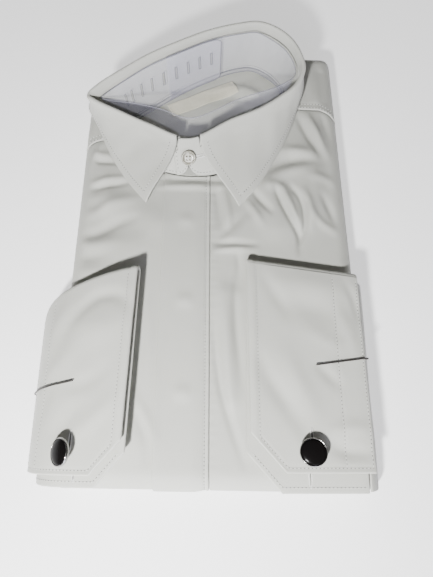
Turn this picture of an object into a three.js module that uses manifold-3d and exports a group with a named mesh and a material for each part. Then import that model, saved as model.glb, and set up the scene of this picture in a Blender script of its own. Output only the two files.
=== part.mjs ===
// A new long sleeve dress shirt, folded flat round hidden layers, lying on its back.
// Millimetres, +Z up. X runs across the chest, Y runs from the bottom fold up to the collar.
// The origin is on the surface the shirt lies on, under the middle of the folded body.
import * as THREE from "three";
import { mergeVertices } from "three/addons/utils/BufferGeometryUtils.js";
import Module from "manifold-3d";

// The folded body
const PACK_WIDTH = 214;
const PACK_TOP = 180;
const PACK_BOTTOM = -178;
const PACK_HEIGHT = 26;
const EDGE_ROLL = 11;
const CORNER_NORM = 3;
const WIDTH_TAPER = 0.0001;
const BOTTOM_SKEW = 0.016;
const SHOULDER_SLOPE = { startX: -30, run: 77, drop: 42 };
const SKIRT_END = 5.4;
const CLOTH = 1.6;
const GAP = 0.3;

// The front, its fly placket and its neckline
const PLACKET_LEFT = -38.7;
const PLACKET_RIGHT = -1.5;
const UNDER_FRONT_EDGE = -14;
const CHEST_START = -50;
const UNDER_STAND = 1.5;

// The collar, held open by a clear strip
const STAND_THICKNESS = 2.2;
const LEAF_THICKNESS = 2.2;
const ROLL_RADIUS = 2.3;
const LEAF_SEAM_DROP = 8;
const ROLL_PLANE = { z: 34, slope: 0.2 };
const STAND_OVERLAP_STEP = 1.5;
const STAND_BOW = 0.8;
const STAND_END = 0.24;
const STAND_CORNER = { reach: 0.75, share: 0.62, power: 2.2 };
const LEAF_START = 0.27;
const LEAF_END = 0.29;
const SUPPORT_THICKNESS = 0.6;

// The cuffs, their links and their clips
const CUFF_THICKNESS = 2.2;
const CUFF_WIDTH = 81;
const CUFF_INNER_GAP = 3.4;
const LINK_RADIUS = 9;
const CLIP_WIRE = 0.55;
const BUTTON_RADIUS = 5.8;
const BUTTONHOLE = 16;
const CUFF_SAG = 0.008;
const COLLAR_HOLE = { length: 14, width: 2.6, depth: 4.2, from: -1.4 };

// Worked-out levels
const FLAT_X = PACK_WIDTH / 2 - EDGE_ROLL;
const FLAT_BOTTOM = -PACK_BOTTOM - EDGE_ROLL;
const QUARTER = (EDGE_ROLL * Math.PI) / 2;
const SKIRT = QUARTER + PACK_HEIGHT - EDGE_ROLL - SKIRT_END;
const PANEL_TOP = PACK_HEIGHT + CLOTH;
const NECK_Z = PANEL_TOP + GAP + 1.3;
const CUFF_LOWER_MID = PANEL_TOP + 0.5 + CUFF_THICKNESS / 2;
const CUFF_UPPER_MID = CUFF_LOWER_MID + CUFF_THICKNESS + CUFF_INNER_GAP;
const CUFF_TOP = CUFF_UPPER_MID + CUFF_THICKNESS / 2;

// Stations round the collar, from the centre front to the wearer's left and on round the back.
// The stand rises from the neck seam to the roll, and the leaf falls from the roll to its hem.
const COLLAR = [
  { neckX: -18.5, neckY: 55.5, rollX: -18.5, rollY: 77, hemX: 16, hemY: 22 },
  { neckX: 10, neckY: 60, rollX: 14, rollY: 91, hemX: 35, hemY: 43 },
  { neckX: 30, neckY: 74, rollX: 38, rollY: 101, hemX: 50, hemY: 68 },
  { neckX: 45, neckY: 90, rollX: 54, rollY: 111, hemX: 62, hemY: 92 },
  { neckX: 57, neckY: 107, rollX: 66, rollY: 121, hemX: 71, hemY: 117 },
  { neckX: 64, neckY: 124, rollX: 72, rollY: 135, hemX: 77, hemY: 138 },
  { neckX: 63, neckY: 137, rollX: 69, rollY: 147, hemX: 77, hemY: 154 },
  { neckX: 58, neckY: 149, rollX: 62, rollY: 158, hemX: 72, hemY: 168 },
  { neckX: 47, neckY: 161, rollX: 50, rollY: 167, hemX: 60, hemY: 178 },
  { neckX: 34, neckY: 167, rollX: 37, rollY: 171, hemX: 43, hemY: 183 },
  { neckX: 20, neckY: 165.5, rollX: 22, rollY: 169.5, hemX: 24, hemY: 183 },
  { neckX: -2, neckY: 157, rollX: -2, rollY: 164, hemX: -4, hemY: 178 },
  { neckX: -24, neckY: 145, rollX: -26, rollY: 155, hemX: -31, hemY: 169 },
  { neckX: -48, neckY: 128, rollX: -50, rollY: 144.5, hemX: -57, hemY: 158 },
  { neckX: -66, neckY: 115, rollX: -72, rollY: 131.5, hemX: -80, hemY: 146 },
  { neckX: -76, neckY: 108, rollX: -90, rollY: 119.5, hemX: -99, hemY: 134 },
  { neckX: -81, neckY: 101, rollX: -97, rollY: 112, hemX: -105, hemY: 123 },
  { neckX: -78, neckY: 93, rollX: -92, rollY: 108, hemX: -96, hemY: 103 },
  { neckX: -62, neckY: 75, rollX: -72, rollY: 98.5, hemX: -83, hemY: 74 },
  { neckX: -42, neckY: 60.5, rollX: -49, rollY: 88, hemX: -68, hemY: 50 },
];
const LEAF_LAST_HEM = { x: -45, y: 21 };

// Stations round the clear strip inside the collar, from the same centre front and the same way.
const SUPPORT = [
  { footX: -16, footY: 72, topX: -16, topY: 86, topZ: 61 },
  { footX: 20, footY: 88, topX: 22, topY: 105, topZ: 60 },
  { footX: 42, footY: 103, topX: 53, topY: 118, topZ: 59 },
  { footX: 57, footY: 120, topX: 66, topY: 129, topZ: 58 },
  { footX: 59, footY: 131, topX: 66, topY: 138, topZ: 59 },
  { footX: 56, footY: 144, topX: 60, topY: 150, topZ: 61 },
  { footX: 45, footY: 155, topX: 48, topY: 160, topZ: 63 },
  { footX: 34, footY: 161, topX: 36, topY: 165, topZ: 65 },
  { footX: 20, footY: 159, topX: 22, topY: 163, topZ: 65 },
  { footX: -2, footY: 150, topX: -2, topY: 158, topZ: 63.5 },
  { footX: -24, footY: 138, topX: -25, topY: 148.5, topZ: 62 },
  { footX: -48, footY: 121.5, topX: -48.5, topY: 138, topZ: 60 },
  { footX: -64, footY: 109.5, topX: -69, topY: 125.5, topZ: 57 },
  { footX: -71, footY: 103, topX: -84, topY: 115.5, topZ: 54 },
  { footX: -73, footY: 99, topX: -88, topY: 111.5, topZ: 53.5 },
  { footX: -69, footY: 95.5, topX: -82, topY: 109, topZ: 53.5 },
  { footX: -50, footY: 90, topX: -60, topY: 103, topZ: 57 },
  { footX: -33, footY: 80, topX: -38, topY: 95, topZ: 59.5 },
];
const SUPPORT_START = 8.6;
const SUPPORT_LAP = 1.9;
const SUPPORT_STEP = 0.6;
const SUPPORT_BLEND = 1.5;
const SUPPORT_CORNER = { reach: 0.25, share: 0.055 };

// The yoke seam from the left edge to the neck, and from the neck to the right edge
const YOKE_SEAM = [
  { x: -125, y: 84 },
  { x: -107, y: 86 },
  { x: -91, y: 91 },
  { x: -80, y: 100 },
  { x: 64, y: 123 },
  { x: 76, y: 121.5 },
  { x: 93, y: 120.5 },
  { x: 106, y: 114 },
  { x: 125, y: 111 },
];

// Soft folds of the front: a ridge from one point to another, its half width and its height
const FOLDS = [
  { fromX: -104, fromY: 84, toX: -84, toY: 28, spread: 11, rise: 2.4 },
  { fromX: -72, fromY: 22, toX: -46, toY: 2, spread: 13, rise: 2.2 },
  { fromX: -96, fromY: 10, toX: -62, toY: -4, spread: 12, rise: 1.8 },
  { fromX: 27, fromY: 16, toX: 18, toY: -6, spread: 10, rise: 2.0 },
  { fromX: 46, fromY: 38, toX: 50, toY: 4, spread: 12, rise: 2.6 },
  { fromX: 80, fromY: 74, toX: 73, toY: 18, spread: 12, rise: 2.4 },
  { fromX: 96, fromY: 96, toX: 92, toY: 30, spread: 11, rise: 1.6 },
  { fromX: 10, fromY: -44, toX: 8, toY: -128, spread: 9, rise: 1.4 },
];

const clamp = THREE.MathUtils.clamp;
const lerp = THREE.MathUtils.lerp;
const smoothstep = THREE.MathUtils.smoothstep;

const cloth = () => new THREE.MeshStandardMaterial({ color: 0xd6d6d2, roughness: 0.8, metalness: 0 });

const wasm = await Module();
wasm.setup();

// Turns a closed mesh into a solid.
function solidOf(geometry) {
  const bare = geometry.clone();
  bare.deleteAttribute("normal");
  bare.deleteAttribute("uv");
  const merged = mergeVertices(bare, 1e-4);
  const vertProperties = new Float32Array(merged.attributes.position.array);
  const triVerts = new Uint32Array(merged.index.array);
  return new wasm.Manifold(new wasm.Mesh({ numProp: 3, vertProperties, triVerts }));
}

// Turns a solid back into a mesh geometry.
function geometryOf(solid) {
  const mesh = solid.getMesh();
  const geometry = new THREE.BufferGeometry();
  geometry.setAttribute("position", new THREE.BufferAttribute(new Float32Array(mesh.vertProperties), 3));
  geometry.setIndex(new THREE.BufferAttribute(new Uint32Array(mesh.triVerts), 1));
  geometry.computeVertexNormals();
  return geometry;
}

// Six times the volume inside a closed mesh, positive when its faces point out.
function signedVolume(points, faces) {
  const a = new THREE.Vector3();
  const b = new THREE.Vector3();
  const c = new THREE.Vector3();
  let total = 0;
  for (let i = 0; i < faces.length; i += 3) {
    a.fromArray(points, faces[i] * 3);
    b.fromArray(points, faces[i + 1] * 3);
    c.fromArray(points, faces[i + 2] * 3);
    total += a.dot(b.cross(c));
  }
  return total;
}

// Makes a geometry from points and faces, with the faces turned to point out.
function closedGeometry(points, faces) {
  if (signedVolume(points, faces) < 0) {
    faces.reverse();
  }
  const geometry = new THREE.BufferGeometry();
  geometry.setAttribute("position", new THREE.Float32BufferAttribute(points, 3));
  geometry.setIndex(faces);
  geometry.computeVertexNormals();
  return geometry;
}

// A wall of cloth: place(i, j, side) gives a point of its inner (0) or outer (1) face
// for column i and row j, and the rim joins the two faces all round.
function wall(columns, rows, place) {
  const points = [];
  const faces = [];
  const at = (i, j, side) => (i * rows + j) * 2 + side;
  const quad = (a, b, c, d) => faces.push(a, b, c, a, c, d);
  for (let i = 0; i < columns; i += 1) {
    for (let j = 0; j < rows; j += 1) {
      points.push(...place(i, j, 0).toArray(), ...place(i, j, 1).toArray());
    }
  }
  for (let i = 0; i < columns - 1; i += 1) {
    for (let j = 0; j < rows - 1; j += 1) {
      quad(at(i, j, 1), at(i + 1, j, 1), at(i + 1, j + 1, 1), at(i, j + 1, 1));
      quad(at(i, j, 0), at(i, j + 1, 0), at(i + 1, j + 1, 0), at(i + 1, j, 0));
    }
    quad(at(i, 0, 0), at(i + 1, 0, 0), at(i + 1, 0, 1), at(i, 0, 1));
    quad(at(i, rows - 1, 1), at(i + 1, rows - 1, 1), at(i + 1, rows - 1, 0), at(i, rows - 1, 0));
  }
  for (let j = 0; j < rows - 1; j += 1) {
    quad(at(0, j, 1), at(0, j + 1, 1), at(0, j + 1, 0), at(0, j, 0));
    quad(at(columns - 1, j, 0), at(columns - 1, j + 1, 0), at(columns - 1, j + 1, 1), at(columns - 1, j, 1));
  }
  return closedGeometry(points, faces);
}

// Evenly spaced values from one number to another.
function spread(from, to, count) {
  return Array.from({ length: count }, (_, i) => lerp(from, to, i / (count - 1)));
}

// The value of a table at x, on straight lines between its rows.
function tableY(rows, x) {
  const after = rows.findIndex((row) => row.x >= x);
  if (after < 1) {
    return after === 0 ? rows[0].y : rows[rows.length - 1].y;
  }
  const from = rows[after - 1];
  const to = rows[after];
  return lerp(from.y, to.y, (x - from.x) / (to.x - from.x));
}

// Where the flat top of the body ends towards the collar; the left shoulder slopes away.
function flatTop(x) {
  const along = clamp((SHOULDER_SLOPE.startX - Math.max(x, -FLAT_X)) / SHOULDER_SLOPE.run, 0, 1);
  return PACK_TOP - EDGE_ROLL - SHOULDER_SLOPE.drop * along * along;
}

// Where the flat top ends towards the bottom fold, which runs slightly askew.
function flatBottom(x) {
  return -FLAT_BOTTOM - BOTTOM_SKEW * clamp(x, -FLAT_X, FLAT_X);
}

// Height that the folds add to the front at a place.
function foldRise(x, y) {
  let rise = 0;
  for (const fold of FOLDS) {
    const dx = fold.toX - fold.fromX;
    const dy = fold.toY - fold.fromY;
    const along = ((x - fold.fromX) * dx + (y - fold.fromY) * dy) / (dx * dx + dy * dy);
    const t = clamp(along, 0, 1);
    const offX = x - fold.fromX - dx * t;
    const offY = y - fold.fromY - dy * t;
    rise += fold.rise * Math.exp(-(offX * offX + offY * offY) / (fold.spread * fold.spread));
  }
  const fromSide = smoothstep(FLAT_X - Math.abs(x), 0, 14);
  return rise * fromSide;
}

// The folded body's surface: cloth measured from its middle, rolled over the edges of the pack
// and down its sides, at a height above the packed layers.
function packPoint(x, y, height) {
  const overX = Math.max(Math.abs(x) - FLAT_X, 0);
  const endY = y > 0 ? flatTop(x) : flatBottom(x);
  const overY = y > 0 ? Math.max(y - endY, 0) : Math.max(endY - y, 0);
  const over = Math.max(overX, overY);
  if (over === 0) {
    return new THREE.Vector3(x * (1 - WIDTH_TAPER * y), y, PACK_HEIGHT + height + foldRise(x, y));
  }
  const norm = (overX ** CORNER_NORM + overY ** CORNER_NORM) ** (1 / CORNER_NORM);
  const angle = Math.min(over / EDGE_ROLL, Math.PI / 2);
  const reach = (EDGE_ROLL + height) * Math.sin(angle);
  const straight = Math.max(over - QUARTER, 0);
  const outX = Math.sign(x) * (Math.min(Math.abs(x), FLAT_X) + (reach * overX) / norm);
  const outY = overY > 0 ? endY + (Math.sign(y) * reach * overY) / norm : y;
  const z = PACK_HEIGHT - EDGE_ROLL + (EDGE_ROLL + height) * Math.cos(angle) - straight;
  return new THREE.Vector3(outX * (1 - WIDTH_TAPER * outY), outY, z);
}

// Steps over an edge roll, from the flat top down to the end of the skirt.
const ROLL_STEPS = [0, QUARTER * 0.25, QUARTER * 0.5, QUARTER * 0.75, QUARTER, SKIRT];

// The neckline as a closed line in plan.
const collarPoints = (pick) => COLLAR.map(pick);
const neckCurve = new THREE.CatmullRomCurve3(
  collarPoints((row) => new THREE.Vector3(row.neckX, row.neckY, NECK_Z)),
  true,
);
const rollCurve = new THREE.CatmullRomCurve3(
  collarPoints(
    (row) => new THREE.Vector3(row.rollX, row.rollY, ROLL_PLANE.z + ROLL_PLANE.slope * row.rollY),
  ),
  true,
);
const hemCurve = new THREE.CatmullRomCurve3([
  ...collarPoints((row) => new THREE.Vector3(row.hemX, row.hemY, NECK_Z + foldRise(row.hemX, row.hemY))),
  new THREE.Vector3(LEAF_LAST_HEM.x, LEAF_LAST_HEM.y, NECK_Z),
]);

// The neckline's front (half 0) or back (half 1) as a height table across the chest.
function neckTable(half) {
  const samples = neckCurve.getPoints(240);
  const left = samples.reduce((best, p) => (p.x < best.x ? p : best));
  const right = samples.reduce((best, p) => (p.x > best.x ? p : best));
  const isBack = (p) => {
    const split = lerp(left.y, right.y, (p.x - left.x) / (right.x - left.x));
    return p.y > split;
  };
  const rows = samples.filter((p) => isBack(p) === (half === 1));
  rows.push(left, right);
  return rows.map((p) => ({ x: p.x, y: p.y })).sort((a, b) => a.x - b.x);
}
const NECK_FRONT = neckTable(0);
const NECK_BACK = neckTable(1);
const NECK_LEFT = NECK_FRONT[0].x;
const NECK_RIGHT = NECK_FRONT[NECK_FRONT.length - 1].x;
const NECK_COLUMNS = [
  NECK_LEFT,
  NECK_LEFT + 4,
  ...spread(NECK_LEFT + 11, NECK_RIGHT - 11, 12),
  NECK_RIGHT - 4,
  NECK_RIGHT,
];
const inNeck = (x) => x > NECK_LEFT && x < NECK_RIGHT;
const frontTop = (x) => (inNeck(x) ? tableY(NECK_FRONT, x) : tableY(YOKE_SEAM, x)) - GAP;
const yokeStart = (x) => (inNeck(x) ? tableY(NECK_BACK, x) : tableY(YOKE_SEAM, x)) + GAP;

// Layered hidden parts of the shirt: back, sleeves and tails folded into one rounded solid.
// Rings go up from the resting face; the low ones stand out as three folded layers.
const CORE_LAYERS = [
  { z: 0, out: 0.9 },
  { z: 0.7, out: 1.6 },
  { z: 1.2, out: 1.3 },
  { z: 1.6, out: 0.3 },
  { z: 2.0, out: 1.5 },
  { z: 2.8, out: 1.8 },
  { z: 3.2, out: 0.5 },
  { z: 3.6, out: 1.3 },
  { z: 4.4, out: 1.6 },
  { z: 4.9, out: 0.9 },
  { z: 5.1, out: -0.6 },
];
const CORE_INSET = -0.6;
const CORE_SIDE_STEPS = 10;
const CORE_CORNER_STEPS = 3;
const CORE_LOW_Y = -120;
const CORE_TOP_Y = { left: 60, right: 100 };

// Corner and side places round the pack for one distance over its edge.
function rimPlaces(over) {
  const right = FLAT_X;
  const places = [];
  const corner = (signX, signY, stepX, stepY) => {
    const endY = signY > 0 ? flatTop(signX * right) : flatBottom(signX * right);
    places.push([signX * (right + over * stepX), endY + signY * over * stepY]);
  };
  for (let i = 0; i <= CORE_CORNER_STEPS; i += 1) corner(1, 1, 1, i / CORE_CORNER_STEPS);
  for (let i = CORE_CORNER_STEPS - 1; i > 0; i -= 1) corner(1, 1, i / CORE_CORNER_STEPS, 1);
  for (const x of spread(right, -right, CORE_SIDE_STEPS)) places.push([x, flatTop(x) + over]);
  for (let i = 1; i < CORE_CORNER_STEPS; i += 1) corner(-1, 1, i / CORE_CORNER_STEPS, 1);
  for (let i = CORE_CORNER_STEPS; i >= 0; i -= 1) corner(-1, 1, 1, i / CORE_CORNER_STEPS);
  for (const y of spread(CORE_TOP_Y.left, CORE_LOW_Y, 4)) places.push([-right - over, y]);
  for (let i = 0; i <= CORE_CORNER_STEPS; i += 1) corner(-1, -1, 1, i / CORE_CORNER_STEPS);
  for (let i = CORE_CORNER_STEPS - 1; i > 0; i -= 1) corner(-1, -1, i / CORE_CORNER_STEPS, 1);
  for (const x of spread(-right, right, CORE_SIDE_STEPS)) places.push([x, flatBottom(x) - over]);
  for (let i = 1; i < CORE_CORNER_STEPS; i += 1) corner(1, -1, i / CORE_CORNER_STEPS, 1);
  for (let i = CORE_CORNER_STEPS; i >= 0; i -= 1) corner(1, -1, 1, i / CORE_CORNER_STEPS);
  for (const y of spread(CORE_LOW_Y, CORE_TOP_Y.right, 4)) places.push([right + over, y]);
  return places;
}

function hiddenLayers() {
  const rings = [];
  for (const layer of CORE_LAYERS) {
    const over = QUARTER + PACK_HEIGHT - EDGE_ROLL - layer.z;
    rings.push(rimPlaces(over).map(([x, y]) => packPoint(x, y, layer.out)));
  }
  for (const part of [1, 0.75, 0.5, 0.25, 0.06]) {
    rings.push(rimPlaces(QUARTER * part).map(([x, y]) => packPoint(x, y, CORE_INSET)));
  }
  const points = rings.flat().flatMap((p) => p.toArray());
  const faces = [];
  const count = rings[0].length;
  for (let ring = 0; ring < rings.length - 1; ring += 1) {
    for (let i = 0; i < count; i += 1) {
      const next = (i + 1) % count;
      const a = ring * count + i;
      const b = ring * count + next;
      const c = (ring + 1) * count + next;
      const d = (ring + 1) * count + i;
      faces.push(a, b, c, a, c, d);
    }
  }
  const bottom = points.length / 3;
  points.push(0, 0, 0);
  const top = bottom + 1;
  points.push(0, 0, PACK_HEIGHT + CORE_INSET);
  const last = (rings.length - 1) * count;
  for (let i = 0; i < count; i += 1) {
    const next = (i + 1) % count;
    faces.push(bottom, next, i);
    faces.push(top, last + i, last + next);
  }
  return closedGeometry(points, faces);
}

// A panel of the body between two lines, rolled over whichever edges it reaches.
function bodyPanel(xs, rowsAt, base, thickness = CLOTH) {
  const rows = rowsAt(xs[0]).length;
  return wall(xs.length, rows, (i, j, side) => {
    const x = xs[i];
    const y = rowsAt(x)[j];
    return packPoint(x, y, base(x) + side * thickness);
  });
}

// Rows up a front: over the bottom fold, wide below the cuffs' tops, close up to the neck.
const rollUnderBottom = (x) => ROLL_STEPS.slice(1).reverse().map((d) => flatBottom(x) - d);
const frontRows = (x) => [
  ...rollUnderBottom(x),
  ...spread(flatBottom(x), CHEST_START, 5),
  ...spread(CHEST_START + 11, frontTop(x), 11),
];

// The wearer's right front lies underneath; its edge is hidden by the placket.
function rightFront() {
  const xs = [
    ...ROLL_STEPS.slice(1).reverse().map((d) => -FLAT_X - d),
    -FLAT_X,
    -88,
    ...NECK_COLUMNS.filter((x) => x < UNDER_FRONT_EDGE - 2),
    UNDER_FRONT_EDGE,
  ];
  return bodyPanel(xs, frontRows, () => 0);
}

// The wearer's left front, from the placket's seam to the right edge.
function leftFront() {
  const xs = [
    PLACKET_RIGHT + GAP,
    ...NECK_COLUMNS.filter((x) => x > PLACKET_RIGHT + 3),
    76,
    86,
    FLAT_X,
    ...ROLL_STEPS.slice(1).map((d) => FLAT_X + d),
  ];
  return bodyPanel(xs, frontRows, () => 0);
}

// The fly placket covers the front's buttons: its left edge lies free on the under front,
// its right edge is sewn down level with the outer front.
function flyPlacket() {
  const xs = [PLACKET_LEFT, -32, -26, -20, UNDER_FRONT_EDGE + GAP, -8, PLACKET_RIGHT];
  const raised = CLOTH + GAP;
  const base = (x) => raised * (1 - smoothstep(x, UNDER_FRONT_EDGE + GAP, PLACKET_RIGHT));
  const rowsAt = (x) => {
    const rows = frontRows(x);
    rows[rows.length - 1] -= UNDER_STAND;
    return rows;
  };
  return bodyPanel(xs, rowsAt, base);
}

// The outer yoke goes over both shoulders and down behind the collar.
function outerYoke() {
  const xs = [
    ...ROLL_STEPS.slice(1).reverse().map((d) => -FLAT_X - d),
    -FLAT_X,
    -88,
    ...NECK_COLUMNS,
    76,
    86,
    FLAT_X,
    ...ROLL_STEPS.slice(1).map((d) => FLAT_X + d),
  ];
  const rowsAt = (x) => {
    const flat = Math.max(flatTop(x), yokeStart(x) + 1);
    return [...spread(yokeStart(x), flat, 5), ...ROLL_STEPS.slice(1).map((d) => flatTop(x) + d)];
  };
  return bodyPanel(xs, rowsAt, () => 0);
}

// The inner yoke shows inside the neck, behind the label.
function innerYoke() {
  const xs = NECK_COLUMNS.slice(1, -1);
  const rowsAt = (x) => spread(tableY(NECK_FRONT, x) + 1, tableY(NECK_BACK, x) - 1, 7);
  return bodyPanel(xs, rowsAt, () => 0);
}

// Frame of the collar at a station: foot and roll points, the way up and the way out.
const COLLAR_COUNT = COLLAR.length;
function collarFrame(station) {
  const t = (((station / COLLAR_COUNT) % 1) + 1) % 1;
  const foot = neckCurve.getPoint(t);
  const roll = rollCurve.getPoint(t);
  const up = roll.clone().sub(foot).normalize();
  const along = rollCurve.getTangent(t);
  const out = new THREE.Vector3().crossVectors(along, up).normalize();
  return { foot, roll, up, out, height: roll.distanceTo(foot) };
}

// How far the stand's two ends step apart where they overlap at the centre front.
function overlapStep(station) {
  const start = 1 - smoothstep(station, 0, 1.2);
  const end = smoothstep(station, COLLAR_COUNT - 1.2, COLLAR_COUNT);
  return STAND_OVERLAP_STEP * (start - end);
}

// Share of the stand's height that its rounded lower corner takes off near an end.
function cornerLift(station) {
  const fromEnd = Math.min(station + STAND_END, COLLAR_COUNT + STAND_END - station);
  const left = clamp(1 - fromEnd / STAND_CORNER.reach, 0, 1);
  return STAND_CORNER.share * left ** STAND_CORNER.power;
}

// A point of the stand: share 0 at the neck seam, 1 at the roll, offset out of its middle.
function standPoint(station, share, offset) {
  const frame = collarFrame(station);
  const bow = STAND_BOW * Math.sin(Math.PI * share);
  return frame.foot
    .clone()
    .addScaledVector(frame.up, frame.height * share)
    .addScaledVector(frame.out, bow + overlapStep(station) + offset);
}

function collarStand() {
  const stations = [
    ...spread(-STAND_END, LEAF_START - 0.05, 6),
    ...spread(LEAF_START - 0.02, COLLAR_COUNT - LEAF_END + 0.05, 38),
    ...spread(COLLAR_COUNT - LEAF_END + 0.1, COLLAR_COUNT + STAND_END, 6),
  ];
  const geometry = wall(stations.length, 5, (i, j, side) => {
    const station = stations[i];
    const frame = collarFrame(station);
    const underLeaf = station > LEAF_START - 0.03 && station < COLLAR_COUNT - LEAF_END + 0.07;
    const top = underLeaf ? 1 - (LEAF_SEAM_DROP + GAP) / frame.height : 0.97;
    const share = lerp(cornerLift(station), top, j / 4);
    return standPoint(station, share, (side - 0.5) * STAND_THICKNESS);
  });
  const hole = new THREE.BoxGeometry(COLLAR_HOLE.length, COLLAR_HOLE.width, COLLAR_HOLE.depth);
  hole.translate(COLLAR_HOLE.from + COLLAR_HOLE.length / 2, 0, COLLAR_HOLE.depth / 2);
  hole.applyMatrix4(buttonMatrix(0));
  return geometryOf(solidOf(geometry).subtract(solidOf(hole)));
}

// Places things on the stand at its centre front: X along the stand, Z out of it.
function buttonMatrix(lift) {
  const frame = collarFrame(0);
  const side = new THREE.Vector3().crossVectors(frame.up, frame.out).normalize();
  const matrix = new THREE.Matrix4().makeBasis(side, frame.up, frame.out);
  return matrix.setPosition(standPoint(0, 0.5, lift - overlapStep(0)));
}

// The leaf's section: up from its seam inside the stand, over the roll and down to its hem.
const LEAF_ARC_STEPS = 4;
const LEAF_FALL_STEPS = 5;
const LEAF_FALL = { dropShare: 0.28, hemShare: 0.35, belly: 1.5 };
function leafSection(station) {
  const frame = collarFrame(station);
  const t = clamp(station / COLLAR_COUNT, 0, 1);
  const hem = hemCurve.getPoint(t);
  const onStand = (down, offset) => standPoint(station, 1 - down / frame.height, offset);
  const section = [onStand(LEAF_SEAM_DROP, 0), onStand(LEAF_SEAM_DROP - 3, 0)];
  for (let i = 0; i <= LEAF_ARC_STEPS; i += 1) {
    const angle = (Math.PI * i) / LEAF_ARC_STEPS;
    const rise = ROLL_RADIUS * Math.sin(angle) - ROLL_RADIUS;
    section.push(onStand(-rise, ROLL_RADIUS * (1 - Math.cos(angle))));
  }
  const start = section[section.length - 1];
  const reach = start.distanceTo(hem);
  const first = start.clone().addScaledVector(frame.up, -reach * LEAF_FALL.dropShare);
  const second = hem.clone().lerp(start, LEAF_FALL.hemShare).addScaledVector(frame.out, LEAF_FALL.belly);
  const fall = new THREE.CubicBezierCurve3(start, first, second, hem);
  for (let i = 1; i <= LEAF_FALL_STEPS; i += 1) {
    section.push(fall.getPoint(i / LEAF_FALL_STEPS));
  }
  return section;
}

function collarLeaf() {
  const stations = spread(LEAF_START, COLLAR_COUNT - LEAF_END, 44);
  const sections = stations.map(leafSection);
  const rows = sections[0].length;
  const columns = stations.length;
  const normal = (i, j) => {
    const along = sections[Math.min(i + 1, columns - 1)][j].clone().sub(sections[Math.max(i - 1, 0)][j]);
    const down = sections[i][Math.min(j + 1, rows - 1)].clone().sub(sections[i][Math.max(j - 1, 0)]);
    return down.cross(along).normalize();
  };
  return wall(columns, rows, (i, j, side) =>
    sections[i][j].clone().addScaledVector(normal(i, j), (side - 0.5) * LEAF_THICKNESS),
  );
}

// The clear strip that holds the collar open: one band whose ends lap at the back.
const supportFoot = new THREE.CatmullRomCurve3(
  SUPPORT.map((row) => new THREE.Vector3(row.footX, row.footY, PANEL_TOP + 0.8)),
  true,
);
const supportTop = new THREE.CatmullRomCurve3(
  SUPPORT.map((row) => new THREE.Vector3(row.topX, row.topY, row.topZ)),
  true,
);
function collarSupport() {
  const stations = spread(SUPPORT_START, SUPPORT_START + SUPPORT.length + SUPPORT_LAP, 54);
  const lapEnd = SUPPORT_START + SUPPORT_LAP;
  const roundAgain = SUPPORT_START + SUPPORT.length;
  return wall(stations.length, 3, (i, j, side) => {
    const station = stations[i];
    const t = (station / SUPPORT.length) % 1;
    const foot = supportFoot.getPoint(t);
    const top = supportTop.getPoint(t);
    const along = supportTop.getTangent(t);
    const up = top.clone().sub(foot).normalize();
    const out = new THREE.Vector3().crossVectors(along, up).normalize();
    const inner = 1 - smoothstep(station, lapEnd, lapEnd + SUPPORT_BLEND);
    const outer = smoothstep(station, roundAgain - SUPPORT_BLEND, roundAgain);
    const corner = Math.max(0, 1 - (station - SUPPORT_START) / SUPPORT_CORNER.reach);
    const share = j / 2 - (j === 2 ? SUPPORT_CORNER.share * corner : 0);
    const offset = SUPPORT_STEP * (outer - inner) + (side - 0.5) * SUPPORT_THICKNESS;
    return foot.lerp(top, share).addScaledVector(out, offset);
  });
}

// A bare woven label sewn to the inner yoke, turned with the collar.
const LABEL = { x: -8, y: 132, width: 62, height: 13, turn: 24, thickness: 1 };
function neckLabel() {
  const geometry = new THREE.BoxGeometry(LABEL.width, LABEL.height, LABEL.thickness, 6, 1, 1);
  geometry.rotateZ(THREE.MathUtils.degToRad(LABEL.turn));
  geometry.translate(LABEL.x, LABEL.y, PANEL_TOP + GAP + LABEL.thickness / 2);
  return geometry;
}

// The collar button: a dished disc with four holes and a sewn shank through the buttonhole.
function collarButton() {
  const profile = [
    new THREE.Vector2(0, -1.9),
    new THREE.Vector2(0.9, -1.9),
    new THREE.Vector2(0.9, 0.3),
    new THREE.Vector2(4.4, 0.3),
    new THREE.Vector2(5.4, 0.9),
    new THREE.Vector2(BUTTON_RADIUS, 1.6),
    new THREE.Vector2(5.5, 2.3),
    new THREE.Vector2(4.7, 2.5),
    new THREE.Vector2(3.7, 2.0),
    new THREE.Vector2(0, 1.9),
  ];
  const disc = new THREE.LatheGeometry(profile, 22);
  disc.rotateX(Math.PI / 2);
  let solid = solidOf(disc);
  for (const [x, y] of [[1, 1], [-1, 1], [-1, -1], [1, -1]]) {
    const hole = new THREE.CylinderGeometry(0.5, 0.5, 3, 6);
    hole.rotateX(Math.PI / 2);
    hole.translate(x * 1.3, y * 1.3, 1.6);
    solid = solid.subtract(solidOf(hole));
  }
  const geometry = geometryOf(solid);
  const onTop = STAND_OVERLAP_STEP + STAND_THICKNESS / 2;
  geometry.applyMatrix4(buttonMatrix(onTop));
  return geometry;
}

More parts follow.
